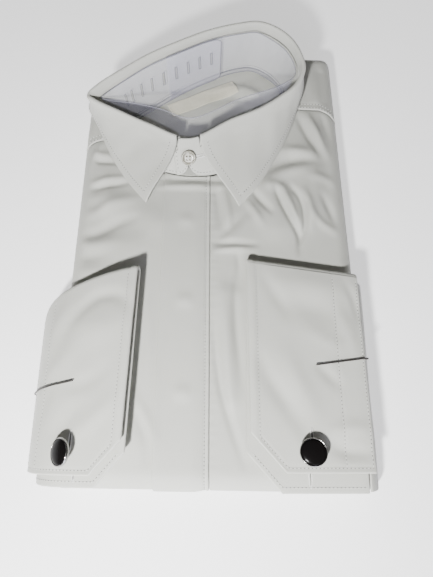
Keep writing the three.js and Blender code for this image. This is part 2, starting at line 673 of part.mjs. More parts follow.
// Each cuff is one band folded back on itself at its top, both ends at the bottom.
// The hand edge faces the middle of the chest. Past bendX the band droops over the body's edge,
// and lift is the slope at which its hand edge stands off the front.
const CUFFS = {
  left: {
    side: 1,
    handX: () => 26,
    topY: (c) => -19 - 0.15 * c,
    endY: -167,
    lowerEndY: -180,
    lowerShift: 2.5,
    chamfer: 23,
    bendX: 99,
    bendRadius: 50,
    lift: 0,
    link: { c: 40.5, y: -153.7, tilt: 6, stand: 5.4, hole: 3 },
    lowerHole: { c: 41.5, y: -166 },
    clip: { y: -93, from: 46, lean: 0.13 },
    sleeve: { reach: 8, outX: 118.6, outZ: 4, footX: 114 },
  },
  right: {
    side: -1,
    handX: (y) => lerp(-53, -58, clamp((-30 - y) / 130, 0, 1)),
    topY: (c) => -28 - 0.08 * c - 0.0035 * c * c,
    endY: -168,
    lowerEndY: -176,
    lowerShift: 0.8,
    chamfer: 20,
    bendX: -101,
    bendRadius: 35,
    lift: THREE.MathUtils.degToRad(12),
    link: { c: 35, y: -153.5, tilt: 38, stand: 7, hole: 5.4 },
    lowerHole: { c: 34, y: -162 },
    clip: { y: -116, from: 38, lean: -0.18 },
    sleeve: { reach: 3, outX: -121.5, outZ: 1.7, footX: -113.8 },
  },
};

// A cuff's point: c across from the hand edge, y along, z the level of its flat part
// where it meets the body; lower is 1 on the half that lies underneath.
function cuffPoint(cuff, c, y, z, lower = 0) {
  const hand = cuff.handX(y);
  const off = z - CUFF_UPPER_MID;
  const flat = Math.abs(cuff.bendX - hand) / Math.cos(cuff.lift);
  const shift = lower * cuff.lowerShift * clamp((cuff.topY(c) - y) / 140, 0, 1);
  const angle = cuff.lift + Math.max(c - flat, 0) / cuff.bendRadius;
  const before = Math.max(flat - c, 0);
  const radius = cuff.bendRadius + off;
  const centreX = Math.abs(cuff.bendX - hand) - cuff.bendRadius * Math.sin(cuff.lift);
  const centreZ = CUFF_UPPER_MID - cuff.bendRadius * Math.cos(cuff.lift);
  const across = centreX + radius * Math.sin(angle) - before * Math.cos(cuff.lift) - shift;
  const up = centreZ + radius * Math.cos(angle) + before * Math.sin(cuff.lift);
  const sag = CUFF_SAG * Math.max(-FLAT_BOTTOM - y, 0) ** 2;
  return new THREE.Vector3(hand + cuff.side * across, y, up - sag);
}

const CUFF_FOLD_STEPS = 6;
const CUFF_LEG_STEPS = 10;
function cuffBand(cuff) {
  const cs = [
    ...spread(0, cuff.chamfer, 3),
    ...spread(cuff.chamfer + 10, CUFF_WIDTH, cuff.side > 0 ? 7 : 10),
  ];
  const half = (CUFF_THICKNESS + CUFF_INNER_GAP) / 2;
  const middle = CUFF_LOWER_MID + half;
  const rows = CUFF_LEG_STEPS * 2 + CUFF_FOLD_STEPS + 1;
  const geometry = wall(cs.length, rows, (i, j, side) => {
    const c = cs[i];
    const off = (side - 0.5) * CUFF_THICKNESS;
    const top = cuff.topY(c) - half;
    const cut = Math.max(cuff.chamfer - c, 0) * 1.1;
    if (j < CUFF_LEG_STEPS) {
      const y = lerp(cuff.lowerEndY + cut, top, j / CUFF_LEG_STEPS);
      return cuffPoint(cuff, c, y, CUFF_LOWER_MID - off, 1);
    }
    if (j > CUFF_LEG_STEPS + CUFF_FOLD_STEPS) {
      const down = (j - CUFF_LEG_STEPS - CUFF_FOLD_STEPS) / CUFF_LEG_STEPS;
      return cuffPoint(cuff, c, lerp(top, cuff.endY + cut, down), CUFF_UPPER_MID + off);
    }
    const angle = (Math.PI * (j - CUFF_LEG_STEPS)) / CUFF_FOLD_STEPS;
    const radius = half + off;
    return cuffPoint(cuff, c, top + radius * Math.sin(angle), middle - radius * Math.cos(angle));
  });
  const upper = new THREE.BoxGeometry(cuff.link.hole, BUTTONHOLE, 5);
  upper.rotateY(cuff.side * cuff.lift);
  upper.translate(...cuffPoint(cuff, cuff.link.c, cuff.link.y, CUFF_UPPER_MID).toArray());
  const lower = new THREE.BoxGeometry(1.6, BUTTONHOLE, 5);
  lower.translate(...cuffPoint(cuff, cuff.lowerHole.c, cuff.lowerHole.y, CUFF_LOWER_MID, 1).toArray());
  return geometryOf(solidOf(geometry).subtract(solidOf(upper)).subtract(solidOf(lower)));
}

// The stretch of sleeve that shows beyond a cuff, curving down beside the body.
function sleeve(cuff) {
  const ys = spread(cuff.topY(CUFF_WIDTH) - 4, cuff.lowerEndY + 1, 11);
  const steps = 7;
  return wall(ys.length, steps, (i, j, side) => {
    const y = ys[i];
    const start = cuffPoint(cuff, CUFF_WIDTH + 1.1, y, CUFF_LOWER_MID, 1);
    const first = cuffPoint(cuff, CUFF_WIDTH + cuff.sleeve.reach, y, CUFF_LOWER_MID, 1);
    const bulge = 1.2 * Math.max(0, Math.sin((Math.PI * 3 * i) / (ys.length - 1)));
    const second = new THREE.Vector3(cuff.sleeve.outX + cuff.side * bulge, y, cuff.sleeve.outZ);
    const foot = new THREE.Vector3(cuff.sleeve.footX, y, 1.9);
    const path = new THREE.CubicBezierCurve3(start, first, second, foot);
    const along = path.getTangent(j / (steps - 1));
    const out = new THREE.Vector3(-along.z, 0, along.x).multiplyScalar(-cuff.side);
    return path.getPoint(j / (steps - 1)).addScaledVector(out, (side - 0.5) * CLOTH);
  });
}

// A link's pieces share one frame: Z out of the face, tilted with the cloth that holds it.
function placeLink(profile, segments, cuff) {
  const geometry = new THREE.LatheGeometry(
    profile.map(([radius, z]) => new THREE.Vector2(radius, z)),
    segments,
  );
  geometry.rotateX(Math.PI / 2);
  geometry.rotateY(THREE.MathUtils.degToRad(-cuff.link.tilt));
  geometry.translate(...cuffPoint(cuff, cuff.link.c, cuff.link.y, CUFF_UPPER_MID).toArray());
  return geometry;
}

// The black face is a shallow dome set in its rim.
function linkFace(cuff) {
  const z = cuff.link.stand;
  const profile = [
    [0, z],
    [LINK_RADIUS - 1.1, z],
    [LINK_RADIUS - 1.1, z + 1.4],
    [LINK_RADIUS - 2.6, z + 2.1],
    [LINK_RADIUS - 5.2, z + 2.5],
    [0, z + 2.7],
  ];
  return placeLink(profile, 24, cuff);
}

// The polished rim is a shallow cup round the face.
function linkRim(cuff) {
  const z = cuff.link.stand;
  const profile = [
    [0, z - 1.5],
    [LINK_RADIUS - 1.6, z - 1.5],
    [LINK_RADIUS - 0.3, z - 0.6],
    [LINK_RADIUS, z + 0.4],
    [LINK_RADIUS - 0.4, z + 1.5],
    [LINK_RADIUS - 0.8, z + 1.5],
    [LINK_RADIUS - 0.8, z - GAP],
    [0, z - GAP],
  ];
  return placeLink(profile, 24, cuff);
}

// The fixed post runs through the buttonhole to a small round back between the cuff's halves.
function linkPost(cuff) {
  const top = cuff.link.stand - 1.5 - GAP;
  const profile = [
    [0, -3.3],
    [1.4, -3.1],
    [1.4, -2.1],
    [1, -1.6],
    [1, top - 1.2],
    [2.2, top],
    [0, top],
  ];
  return placeLink(profile, 12, cuff);
}

// A spring clip of thin wire pushed over the sleeve edge of a cuff's upper half.
function cuffClip(cuff) {
  const y = cuff.clip.y;
  const over = CUFF_TOP + GAP + CLIP_WIRE + 0.1;
  const under = CUFF_UPPER_MID - CUFF_THICKNESS / 2 - GAP - CLIP_WIRE - 0.1;
  const lean = (c) => y + cuff.clip.lean * (c - CUFF_WIDTH);
  const legs = [
    ...spread(cuff.clip.from, CUFF_WIDTH - 1, 7).map((c) => cuffPoint(cuff, c, lean(c), over)),
    cuffPoint(cuff, CUFF_WIDTH + 1.9, y, CUFF_UPPER_MID + 1),
    cuffPoint(cuff, CUFF_WIDTH + 1.9, y, CUFF_UPPER_MID - 1),
    ...spread(CUFF_WIDTH - 1, cuff.clip.from + 10, 5).map((c) => cuffPoint(cuff, c, lean(c), under)),
  ];
  const section = new THREE.Shape();
  section.absarc(0, 0, CLIP_WIRE, 0, Math.PI * 2);
  return new THREE.ExtrudeGeometry(section, {
    extrudePath: new THREE.CatmullRomCurve3(legs),
    steps: 26,
    curveSegments: 3,
  });
}

// One named piece of the shirt.
const shirt = new THREE.Group();
function addPiece(name, geometry, material) {
  const mesh = new THREE.Mesh(geometry, material);
  mesh.name = name;
  shirt.add(mesh);
}

addPiece("hidden_layers", hiddenLayers(), cloth());
addPiece("right_front", rightFront(), cloth());
addPiece("left_front", leftFront(), cloth());
addPiece("fly_placket", flyPlacket(), cloth());
addPiece("outer_yoke", outerYoke(), cloth());
addPiece("inner_yoke", innerYoke(), cloth());
addPiece("collar_stand", collarStand(), cloth());
addPiece("collar_leaf", collarLeaf(), cloth());
addPiece(
  "neck_label",
  neckLabel(),
  new THREE.MeshStandardMaterial({ color: 0xcfcaae, roughness: 0.5, metalness: 0 }),
);
addPiece(
  "collar_support",
  collarSupport(),
  new THREE.MeshStandardMaterial({
    color: 0xdfe3ee,
    roughness: 0.12,
    metalness: 0,
    transparent: true,
    opacity: 0.25,
  }),
);
addPiece(
  "collar_button",
  collarButton(),
  new THREE.MeshStandardMaterial({ color: 0xc9c8bf, roughness: 0.25, metalness: 0 }),
);

for (const [name, cuff] of Object.entries(CUFFS)) {
  addPiece(`cuff_${name}`, cuffBand(cuff), cloth());
  addPiece(`sleeve_${name}`, sleeve(cuff), cloth());
  addPiece(
    `link_face_${name}`,
    linkFace(cuff),
    new THREE.MeshStandardMaterial({ color: 0x0a0a0b, roughness: 0.15, metalness: 0 }),
  );
  addPiece(
    `link_rim_${name}`,
    linkRim(cuff),
    new THREE.MeshStandardMaterial({ color: 0xb4b4b6, roughness: 0.2, metalness: 1 }),
  );
  addPiece(
    `link_post_${name}`,
    linkPost(cuff),
    new THREE.MeshStandardMaterial({ color: 0xb4b4b6, roughness: 0.25, metalness: 1 }),
  );
  addPiece(
    `cuff_clip_${name}`,
    cuffClip(cuff),
    new THREE.MeshStandardMaterial({ color: 0x55524e, roughness: 0.4, metalness: 1 }),
  );
}

export default shirt;
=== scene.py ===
import bpy
import numpy as np
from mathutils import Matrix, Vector


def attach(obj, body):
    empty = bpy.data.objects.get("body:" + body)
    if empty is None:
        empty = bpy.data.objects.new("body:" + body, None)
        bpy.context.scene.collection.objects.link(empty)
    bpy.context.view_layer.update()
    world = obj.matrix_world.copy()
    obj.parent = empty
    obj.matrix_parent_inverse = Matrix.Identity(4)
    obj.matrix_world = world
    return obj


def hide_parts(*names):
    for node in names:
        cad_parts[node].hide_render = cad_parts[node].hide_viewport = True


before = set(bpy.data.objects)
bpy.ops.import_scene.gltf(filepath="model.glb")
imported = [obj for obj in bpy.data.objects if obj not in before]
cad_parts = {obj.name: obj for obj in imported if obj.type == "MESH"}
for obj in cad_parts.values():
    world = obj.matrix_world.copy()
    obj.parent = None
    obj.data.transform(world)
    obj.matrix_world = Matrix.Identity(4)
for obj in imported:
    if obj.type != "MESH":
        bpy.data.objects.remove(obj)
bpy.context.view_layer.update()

# The view. The shirt lies on a pale table and is seen from above its bottom fold, as in the
# photograph. One small key light comes from the lower left, so shadows fall up and to the right,
# and a cool light far in front and the pale surroundings fill them.
camera = bpy.data.objects.new("camera", bpy.data.cameras.new("camera"))
bpy.context.scene.collection.objects.link(camera)
camera.location = (0.0035, -0.1361, 0.337)
camera.rotation_euler = (np.radians(17.3), 0, 0)
camera.data.lens = 27.02
camera.data.sensor_width = 36
camera.data.clip_start = 0.01
bpy.context.scene.camera = camera

TABLE_HALF = 3.0
TABLE_LEVEL = -0.0003
table_mesh = bpy.data.meshes.new("table")
table_corners = ((-1, -1), (1, -1), (1, 1), (-1, 1))
table_mesh.from_pydata([(x * TABLE_HALF, y * TABLE_HALF, TABLE_LEVEL) for x, y in table_corners],
                       [], [(0, 1, 2, 3)])
table = bpy.data.objects.new("table", table_mesh)
bpy.context.scene.collection.objects.link(table)
table_paint = bpy.data.materials.new("table_paint")
table_paint.use_nodes = True
paint = table_paint.node_tree.nodes["Principled BSDF"].inputs
paint["Base Color"].default_value = (0.9, 0.9, 0.9, 1)
paint["Roughness"].default_value = 0.9
paint["Emission Color"].default_value = (1, 1, 1, 1)
paint["Emission Strength"].default_value = 0.9
table_mesh.materials.append(table_paint)


def area_light(name, place, aim, size, power):
    """A square light of one size at a place, turned so that its face looks at the aim."""
    light = bpy.data.objects.new(name, bpy.data.lights.new(name, "AREA"))
    light.data.size = size
    light.data.energy = power
    light.location = place
    light.rotation_euler = (Vector(aim) - Vector(place)).to_track_quat("-Z", "Y").to_euler()
    bpy.context.scene.collection.objects.link(light)


area_light("key_light", (-0.125, -0.39, 0.39), (0, -0.02, 0.02), 0.045, 7.4)
area_light("front_fill", (0.25, -1.5, 0.42), (0, 0, 0.03), 0.7, 14)
bpy.data.lights["front_fill"].color = (0.86, 0.86, 1)
world = bpy.data.worlds.new("studio")
world.use_nodes = True
sky = world.node_tree.nodes["Background"].inputs
sky["Color"].default_value = (1, 0.985, 0.96, 1)
sky["Strength"].default_value = 0.14
bpy.context.scene.world = world


# The back, the tails and the folded parts of the sleeves. They are one long piece of cotton
# satin folded over and over; the garment rests on it, and its folds show as rounded layers
# round the edge. Lengths in this file are in millimetres until a mesh is made.
PACK_TOP = 180
PACK_HEIGHT = 26
EDGE_ROLL = 11
FLAT_X = 96
FLAT_BOTTOM = 167
TAPER = 0.0001
SHOULDER_FROM = -30
SHOULDER_SPAN = 77
SHOULDER_DROP = 42
SKIRT_ABOVE_TABLE = 5.4
QUARTER = EDGE_ROLL * np.pi / 2
SKIRT = QUARTER + PACK_HEIGHT - EDGE_ROLL - SKIRT_ABOVE_TABLE


def smooth(value, low, high):
    """Rises from 0 at low to 1 at high on the curve 3t^2 - 2t^3."""
    t = np.clip((np.asarray(value, float) - low) / (high - low), 0, 1)
    return t * t * (3 - 2 * t)


def flat_top(x):
    """Where the flat front ends at the collar end; the left shoulder slopes away as a parabola."""
    along = np.clip((SHOULDER_FROM - np.maximum(x, -FLAT_X)) / SHOULDER_SPAN, 0, 1)
    return PACK_TOP - EDGE_ROLL - SHOULDER_DROP * along**2


def flat_bottom(x):
    """Where the flat front ends at the bottom fold, a line slightly askew."""
    return -FLAT_BOTTOM - 0.016 * np.clip(x, -FLAT_X, FLAT_X)


def pack_point(x, y, height):
    """A point of cloth laid over the folded body: flat on top, then a quarter circle over the edge,
    outward as the cubic mean of the overhangs in x and y, then straight down. height is above the
    packed layers, and the whole narrows slightly towards the collar end."""
    x, y, height = np.broadcast_arrays(*(np.asarray(v, float) for v in (x, y, height)))
    over_x = np.maximum(np.abs(x) - FLAT_X, 0)
    end_y = np.where(y > 0, flat_top(x), flat_bottom(x))
    over_y = np.maximum(np.where(y > 0, y - end_y, end_y - y), 0)
    over = np.maximum(over_x, over_y)
    norm = np.maximum((over_x**3 + over_y**3) ** (1 / 3), 1e-9)
    angle = np.minimum(over / EDGE_ROLL, np.pi / 2)
    reach = (EDGE_ROLL + height) * np.sin(angle)
    out_x = np.sign(x) * (np.minimum(np.abs(x), FLAT_X) + reach * over_x / norm)
    out_y = np.where(over_y > 0, end_y + np.sign(y) * reach * over_y / norm, y)
    down = np.maximum(over - QUARTER, 0)
    z = PACK_HEIGHT - EDGE_ROLL + (EDGE_ROLL + height) * np.cos(angle) - down
    return np.stack([out_x * (1 - TAPER * out_y), out_y, z], -1)


def mesh_object(name, points, quads, flat, material, triangles=None):
    """Makes a smooth object from points in millimetres and their faces, turned outward by the sign
    of its volume. flat is each point's place on the flat cloth, kept in metres as the UV map."""
    points = np.asarray(points, float) * 0.001
    triangles = np.zeros((0, 3), int) if triangles is None else triangles
    corners = np.concatenate([quads[:, :3], quads[:, [0, 2, 3]], triangles])
    a, b, c = (points[corners[:, k]] for k in range(3))
    if (a * np.cross(b, c)).sum() < 0:
        quads = quads[:, ::-1]
        triangles = triangles[:, ::-1]
    loops = np.concatenate([quads.ravel(), triangles.ravel()])
    starts = np.concatenate([np.arange(len(quads)) * 4, quads.size + np.arange(len(triangles)) * 3])
    mesh = bpy.data.meshes.new(name)
    mesh.vertices.add(len(points))
    mesh.vertices.foreach_set("co", points.ravel())
    mesh.loops.add(len(loops))
    mesh.loops.foreach_set("vertex_index", loops.astype(np.int32))
    mesh.polygons.add(len(starts))
    mesh.polygons.foreach_set("loop_start", starts.astype(np.int32))
    mesh.update(calc_edges=True)
    mesh.polygons.foreach_set("use_smooth", np.ones(len(starts), bool))
    uv = mesh.uv_layers.new(name="cut")
    uv.data.foreach_set("uv", (np.asarray(flat, float) * 0.001)[loops].ravel())
    mesh.materials.append(material)
    thing = bpy.data.objects.new(name, mesh)
    bpy.context.scene.collection.objects.link(thing)
    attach(thing, "root")
    return thing


def grid_faces(index, around=False):
    """Four-sided faces between neighbours of a grid of point numbers, joined round if asked."""
    if around:
        index = np.concatenate([index, index[:, :1]], 1)
    return np.stack([index[:-1, :-1], index[1:, :-1], index[1:, 1:], index[:-1, 1:]], -1).reshape(-1, 4)


class Wire:
    """A socket of a material. Arithmetic on it adds Math nodes, and make adds any other node."""

    def __init__(self, tree, socket=None):
        self.tree = tree
        self.socket = socket

    def make(self, kind, settings=None, inputs=None, output=0):
        node = self.tree.nodes.new(kind)
        for name, value in (settings or {}).items():
            if name == "stops":
                ramp = node.color_ramp.elements
                while len(ramp) < len(value):
                    ramp.new(0.5)
                for stop, (place, colour) in zip(ramp, value):
                    stop.position = place
                    stop.color = colour
            else:
                setattr(node, name, value)
        for name, value in (inputs or {}).items():
            if isinstance(value, Wire):
                self.tree.links.new(value.socket, node.inputs[name])
            else:
                node.inputs[name].default_value = value
        return Wire(self.tree, node.outputs[output] if len(node.outputs) else None)

    def math(self, operation, *values):
        return self.make("ShaderNodeMath", {"operation": operation}, dict(enumerate(values)))

    def __add__(self, other):
        return self.math("ADD", self, other)

    def __sub__(self, other):
        return self.math("SUBTRACT", self, other)

    def __rsub__(self, other):
        return self.math("SUBTRACT", other, self)

    def __mul__(self, other):
        return self.math("MULTIPLY", self, other)

    __radd__ = __add__
    __rmul__ = __mul__


def new_material(name):
    """An empty material and the wire that its nodes are made with."""
    material = bpy.data.materials.new(name)
    material.use_nodes = True
    material.node_tree.nodes.clear()
    return material, Wire(material.node_tree)


def finish_material(wire, sockets):
    """Ends a material in a Principled shader with these socket values."""
    shader = wire.make("ShaderNodeBsdfPrincipled", None, sockets)
    wire.make("ShaderNodeOutputMaterial", None, {"Surface": shader})


def flat_place(wire):
    """The place on the flat cloth: the whole place, its length in x and its length in y."""
    place = wire.make("ShaderNodeTexCoord", None, None, "UV")
    return [place] + [wire.make("ShaderNodeSeparateXYZ", None, {"Vector": place}, k) for k in "XY"]


def noise(wire, place, scale, detail, distortion=0.0):
    """Noise of a place, about 0.5 in the mean."""
    return wire.make("ShaderNodeTexNoise", None, {
        "Vector": place, "Scale": scale, "Detail": detail, "Distortion": distortion})


def blend_colours(wire, share, first, second):
    """The first colour where share is 0, the second where it is 1, and a mix between."""
    return wire.make("ShaderNodeMix", {"data_type": "RGBA"},
                     {"Factor": share, 6: (*first, 1), 7: (*second, 1)}, 2)


def relief(wire, height):
    """A surface direction bent as if the surface had this height, in metres."""
    return wire.make("ShaderNodeBump", None, {"Height": height, "Strength": 1.0, "Distance": 1.0})


def cotton_satin(name, colour):
    """Cotton satin: fine slanting threads from sine waves of the flat cloth's place, soft crumples
    from two sizes of noise, and a colour that drifts by a few hundredths."""
    thread, crumple = 0.00028, 0.00022
    material, wire = new_material(name)
    body = wire.make("ShaderNodeTexCoord", None, None, "Object")
    _, across, along = flat_place(wire)
    turn = 2 * np.pi / thread
    twill = wire.math("SINE", (across + along * 0.5) * (turn / 2.5))
    weft = wire.math("SINE", along * turn)
    coarse = noise(wire, body, 55.0, 2.0)
    fine = noise(wire, body, 240.0, 3.0)
    drift = noise(wire, body, 9.0, 3.0)
    dark = [c * 0.965 for c in colour]
    light = [min(c * 1.025, 1) for c in colour]
    height = coarse * crumple + fine * (crumple * 0.16) + twill * 0.000012 + weft * 0.000008
    finish_material(wire, {
        "Base Color": blend_colours(wire, drift + twill * 0.12, dark, light),
        "Roughness": 0.58 + fine * 0.1,
        "Sheen Weight": 0.25,
        "Sheen Roughness": 0.4,
        "Specular IOR Level": 0.3,
        "Normal": relief(wire, height),
    })
    return material


shirt_cotton = cotton_satin("shirt_cotton", (0.495, 0.498, 0.455))


def rim_places(over, sides, corners):
    """Places round the pack at one distance over its edge, as x and y arrays: each corner turns from
    one side's direction to the next, and each side is stepped evenly."""
    bend = np.linspace(0, 1, corners + 1)
    step_x = np.concatenate([np.ones(corners + 1), bend[-2:0:-1]])
    step_y = np.concatenate([bend, np.ones(corners - 1)])
    along_x = np.linspace(FLAT_X, -FLAT_X, sides)
    rise_y = np.linspace(0, 1, sides)[1:-1]
    top = flat_top(np.array([FLAT_X, -FLAT_X]))
    low = flat_bottom(np.array([FLAT_X, -FLAT_X]))
    xs = [FLAT_X + over * step_x, along_x, -FLAT_X - over * step_x[::-1],
          np.full(sides - 2, -FLAT_X - over)]
    ys = [top[0] + over * step_y, flat_top(along_x) + over, top[1] + over * step_y[::-1],
          top[1] + (low[1] - top[1]) * rise_y]
    xs += [-FLAT_X - over * step_x, -along_x, FLAT_X + over * step_x[::-1],
           np.full(sides - 2, FLAT_X + over)]
    ys += [low[1] - over * step_y, flat_bottom(-along_x) - over, low[0] - over * step_y[::-1],
           low[0] + (top[0] - low[0]) * rise_y]
    return np.concatenate(xs), np.concatenate(ys)


def folded_layer(low, high, out, phase):
    """One folded layer: a flat slab whose edge is a half circle, its outline the pack's own moved
    out, with a slow uneven wave round it. Rings run from the middle below to the middle above."""
    x, y = rim_places(QUARTER + 6.0, 70, 10)
    walk = np.linspace(0, 2 * np.pi, len(x), endpoint=False)
    wave = 0.3 * np.sin(5 * walk + phase) + 0.22 * np.sin(13 * walk + 2.3 * phase)
    edge = pack_point(x, y, out + wave + 0.12 * np.sin(31 * walk + phase))[:, :2]
    half = (high - low) / 2
    turn = np.linspace(-np.pi / 2, np.pi / 2, 9)
    outward = edge / np.linalg.norm(edge, axis=1)[:, None]
    inner = [0.3, 0.6, 0.85, 0.95]
    rings = [edge * s for s in inner]
    rings += [edge - outward * half * (1 - np.cos(t)) for t in turn]
    rings += [edge * s for s in inner[::-1]]
    levels = [low] * len(inner) + [low + half * (1 + np.sin(t)) for t in turn] + [high] * len(inner)
    points = [np.column_stack([r, np.full(len(r), z)]) for r, z in zip(rings, levels)]
    points = np.concatenate(points + [np.array([[0, 0, low], [0, 0, high]])])
    index = np.arange(len(rings) * len(edge)).reshape(len(rings), len(edge))
    first, last = index[0], index[-1]
    caps = [np.stack([np.full(len(edge), len(points) - 2), first, np.roll(first, -1)], -1),
            np.stack([np.full(len(edge), len(points) - 1), np.roll(last, -1), last], -1)]
    return points, grid_faces(index, around=True), np.concatenate(caps)


# Each layer's underside, its top, how far out it lies, and where its wave starts
LAYERS = ((0.0, 1.65, 1.1, 0.4), (1.7, 3.4, 1.5, 2.1), (3.45, 5.2, 1.0, 4.2))
layers = [folded_layer(*row) for row in LAYERS]
layer_starts = np.cumsum([0] + [len(points) for points, _, _ in layers])[:3]
layer_points = np.concatenate([points for points, _, _ in layers])
folded_back = mesh_object(
    "folded_back", layer_points,
    np.concatenate([quads + start for (_, quads, _), start in zip(layers, layer_starts)]),
    layer_points[:, :2], shirt_cotton,
    np.concatenate([caps + start for (_, _, caps), start in zip(layers, layer_starts)]),
)
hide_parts("hidden_layers")


# The two fronts. Each is one panel of cotton satin from the bottom fold up to the yoke and the
# neck, wrapped round the folded body at the bottom and at its side. The right front lies under
# the left, and its edge is hidden by the placket. Soft folds left by folding cross the chest.
NECK_Z = 29.2
CLOTH = 1.6
SEAM = 0.3
PLACKET_LEFT = -38.7
PLACKET_RIGHT = -1.5
UNDER_EDGE = -14
COLLAR = np.array([
    [-18.5, 55.5, -18.5, 77, 16, 22], [10, 60, 14, 91, 35, 43], [30, 74, 38, 101, 50, 68],
    [45, 90, 54, 111, 62, 92], [57, 107, 66, 121, 71, 117], [64, 124, 72, 135, 77, 138],
    [63, 137, 69, 147, 77, 154], [58, 149, 62, 158, 72, 168], [47, 161, 50, 167, 60, 178],
    [34, 167, 37, 171, 43, 183], [20, 165.5, 22, 169.5, 24, 183], [-2, 157, -2, 164, -4, 178],
    [-24, 145, -26, 155, -31, 169], [-48, 128, -50, 144.5, -57, 158], [-66, 115, -72, 131.5, -80, 146],
    [-76, 108, -90, 119.5, -99, 134], [-81, 101, -97, 112, -105, 123], [-78, 93, -92, 108, -96, 103],
    [-62, 75, -72, 98.5, -83, 74], [-42, 60.5, -49, 88, -68, 50],
])
YOKE_SEAM = np.array([[-125, 84], [-107, 86], [-91, 91], [-80, 100], [64, 123], [76, 121.5],
                      [93, 120.5], [106, 114], [125, 111]])


def curve_points(table, share, closed=True):
    """Points on a centripetal Catmull-Rom curve through a table's rows, at shares of the rows."""
    count = len(table)
    place = np.asarray(share, float) * (count if closed else count - 1)
    first = np.floor(place).astype(int)
    if not closed:
        first = np.clip(first, 0, count - 2)
        table = np.concatenate([2 * table[:1] - table[1:2], table, 2 * table[-1:] - table[-2:-1]])
        rows = [table[first + k] for k in range(4)]
    else:
        rows = [table[(first + k - 1) % count] for k in range(4)]
    t = (place - first)[..., None]
    gaps = [((rows[k + 1] - rows[k]) ** 2).sum(-1, keepdims=True) ** 0.25 for k in range(3)]
    lead, tail = (
        ((rows[k + 1] - rows[k]) / gaps[k] - (rows[k + 2] - rows[k]) / (gaps[k] + gaps[k + 1])
         + (rows[k + 2] - rows[k + 1]) / gaps[k + 1]) * gaps[1]
        for k in (0, 1)
    )
    step = rows[2] - rows[1]
    return rows[1] + lead * t + (3 * step - 2 * lead - tail) * t**2 + (lead + tail - 2 * step) * t**3


neck_line = curve_points(COLLAR[:, :2], np.linspace(0, 1, 480, endpoint=False))
neck_left = neck_line[neck_line[:, 0].argmin()]
neck_right = neck_line[neck_line[:, 0].argmax()]
split = np.interp(neck_line[:, 0], [neck_left[0], neck_right[0]], [neck_left[1], neck_right[1]])
neck_front = neck_line[neck_line[:, 1] <= split]
neck_front = neck_front[neck_front[:, 0].argsort()]
neck_back = np.concatenate([[neck_left], neck_line[neck_line[:, 1] > split], [neck_right]])
neck_back = neck_back[neck_back[:, 0].argsort()]


def seam_y(x, neck_half):
    """Where a front ends and the yoke starts: the neckline inside it, the yoke seam outside."""
    inside = (x > neck_left[0]) & (x < neck_right[0])
    return np.where(inside, np.interp(x, neck_half[:, 0], neck_half[:, 1]), np.interp(x, *YOKE_SEAM.T))


# Ridges and troughs of the front: from x, y to x, y, half width, height
FRONT_FOLDS = np.array([
    [-104, 84, -84, 28, 11, 2.2], [-72, 30, -46, 16, 13, 1.6], [-96, -6, -62, -4, 12, 1.6],
    [27, 16, 18, 2, 10, 1.6], [46, 42, 50, 12, 12, 2.4], [80, 74, 73, 18, 12, 2.2],
    [96, 96, 92, 30, 11, 1.6], [12, -44, 14.5, -120, 7.5, 1.4], [-66, -140, -46, -150, 12, 1.0],
])
BUTTONS_BELOW = np.array([[-21, y, -19, y, 5.2, 0.9] for y in (16, -49, -116)])
# Finer creases: half width, height, then the points of the line
FRONT_CREASES = [
    (3.0, 1.3, -106, 50, -101, 68, -92, 88), (2.6, 1.0, -99, 77, -92, 76, -84, 75),
    (2.0, -1.5, -98, 71, -89, 69.5, -77, 69), (3.0, 1.3, -99, 49, -86, 52, -69, 55),
    (2.4, -1.5, -98, 44, -84, 47, -66, 51), (5.0, 0.7, -101, 36, -90, 36, -76, 39),
    (4.6, -1.6, -107, 4, -94, 4, -84, 8, -74, 14, -60, 19),
    (5.0, 1.3, -105, 20, -92, 23, -82, 29, -72, 33, -58, 36), (5.0, 1.2, -105, -3, -90, -5, -70, -1),
    (4.0, -0.9, -105, -15, -95, -15, -82, -13), (5.0, 0.9, -106, -26, -92, -26, -78, -23),
    (2.6, 1.5, -44, 46, -18, 46, 12, 46), (1.9, -1.3, -44, 53, -18, 52.6, 14, 52),
    (3.0, -1.0, 3, 48, 5, 30, 6, 10), (3.2, 1.1, 9, 46, 12, 28, 14, 8),
    (2.4, -1.9, 32, 44, 39, 34, 48, 22), (3.2, 1.3, 26, 36, 33, 25, 40, 12),
    (4.0, 1.3, 42, 49, 50, 47, 58, 44), (2.3, -2.4, 50, 47, 55, 34, 62, 18, 68, 3, 67, -12),
    (3.2, 1.9, 56, 47, 62, 30, 68, 9), (2.2, -2.1, 62, 48, 70, 37, 73, 25, 72.5, 10, 69, -1),
    (3.4, 1.2, 73, 44, 78, 28, 78, 8), (4.4, -1.6, 44, 60, 58, 69, 70, 71, 90, 69),
    (5.0, 1.4, 46, 52, 60, 60, 78, 63), (4.4, 1.2, 54, 80, 68, 80, 82, 77),
    (3.4, 1.8, 81, 118, 88, 98, 96, 74), (3.2, -1.6, 73, 116, 81, 96, 90, 74),
    (3.4, -1.3, 94, 116, 99, 98, 102, 78), (3.2, 1.0, 76, 28, 85, 15, 98, 5),
    (3.0, -1.1, 88, 40, 93, 27, 98, 12), (4.0, 0.8, 78, 56, 90, 54, 102, 48),
    (2.4, 1.3, 0, -9, 16, -8, 36, -8), (2.2, -1.3, 0, -3, 16, -3, 36, -4),
    (4.0, -0.9, 28, 24, 14, 10, -2, -5), (3.0, -1.7, 20, -10, 21, -26, 20, -42),
    (3.0, -1.9, 1, -60, 4, -90, 7, -112, 12, -132, 23, -166),
    (4.2, 1.5, 7, -34, 10, -70, 11, -95, 14, -136), (3.0, -1.6, 18, -26, 17.5, -60, 21, -112),
    (4.0, 0.7, -46, -48, -44, -85, -46, -120), (4.0, 0.8, -55, -114, -46, -130, -37, -148),
    (3.4, -0.8, -51, -128, -44, -145, -42, -162),
]


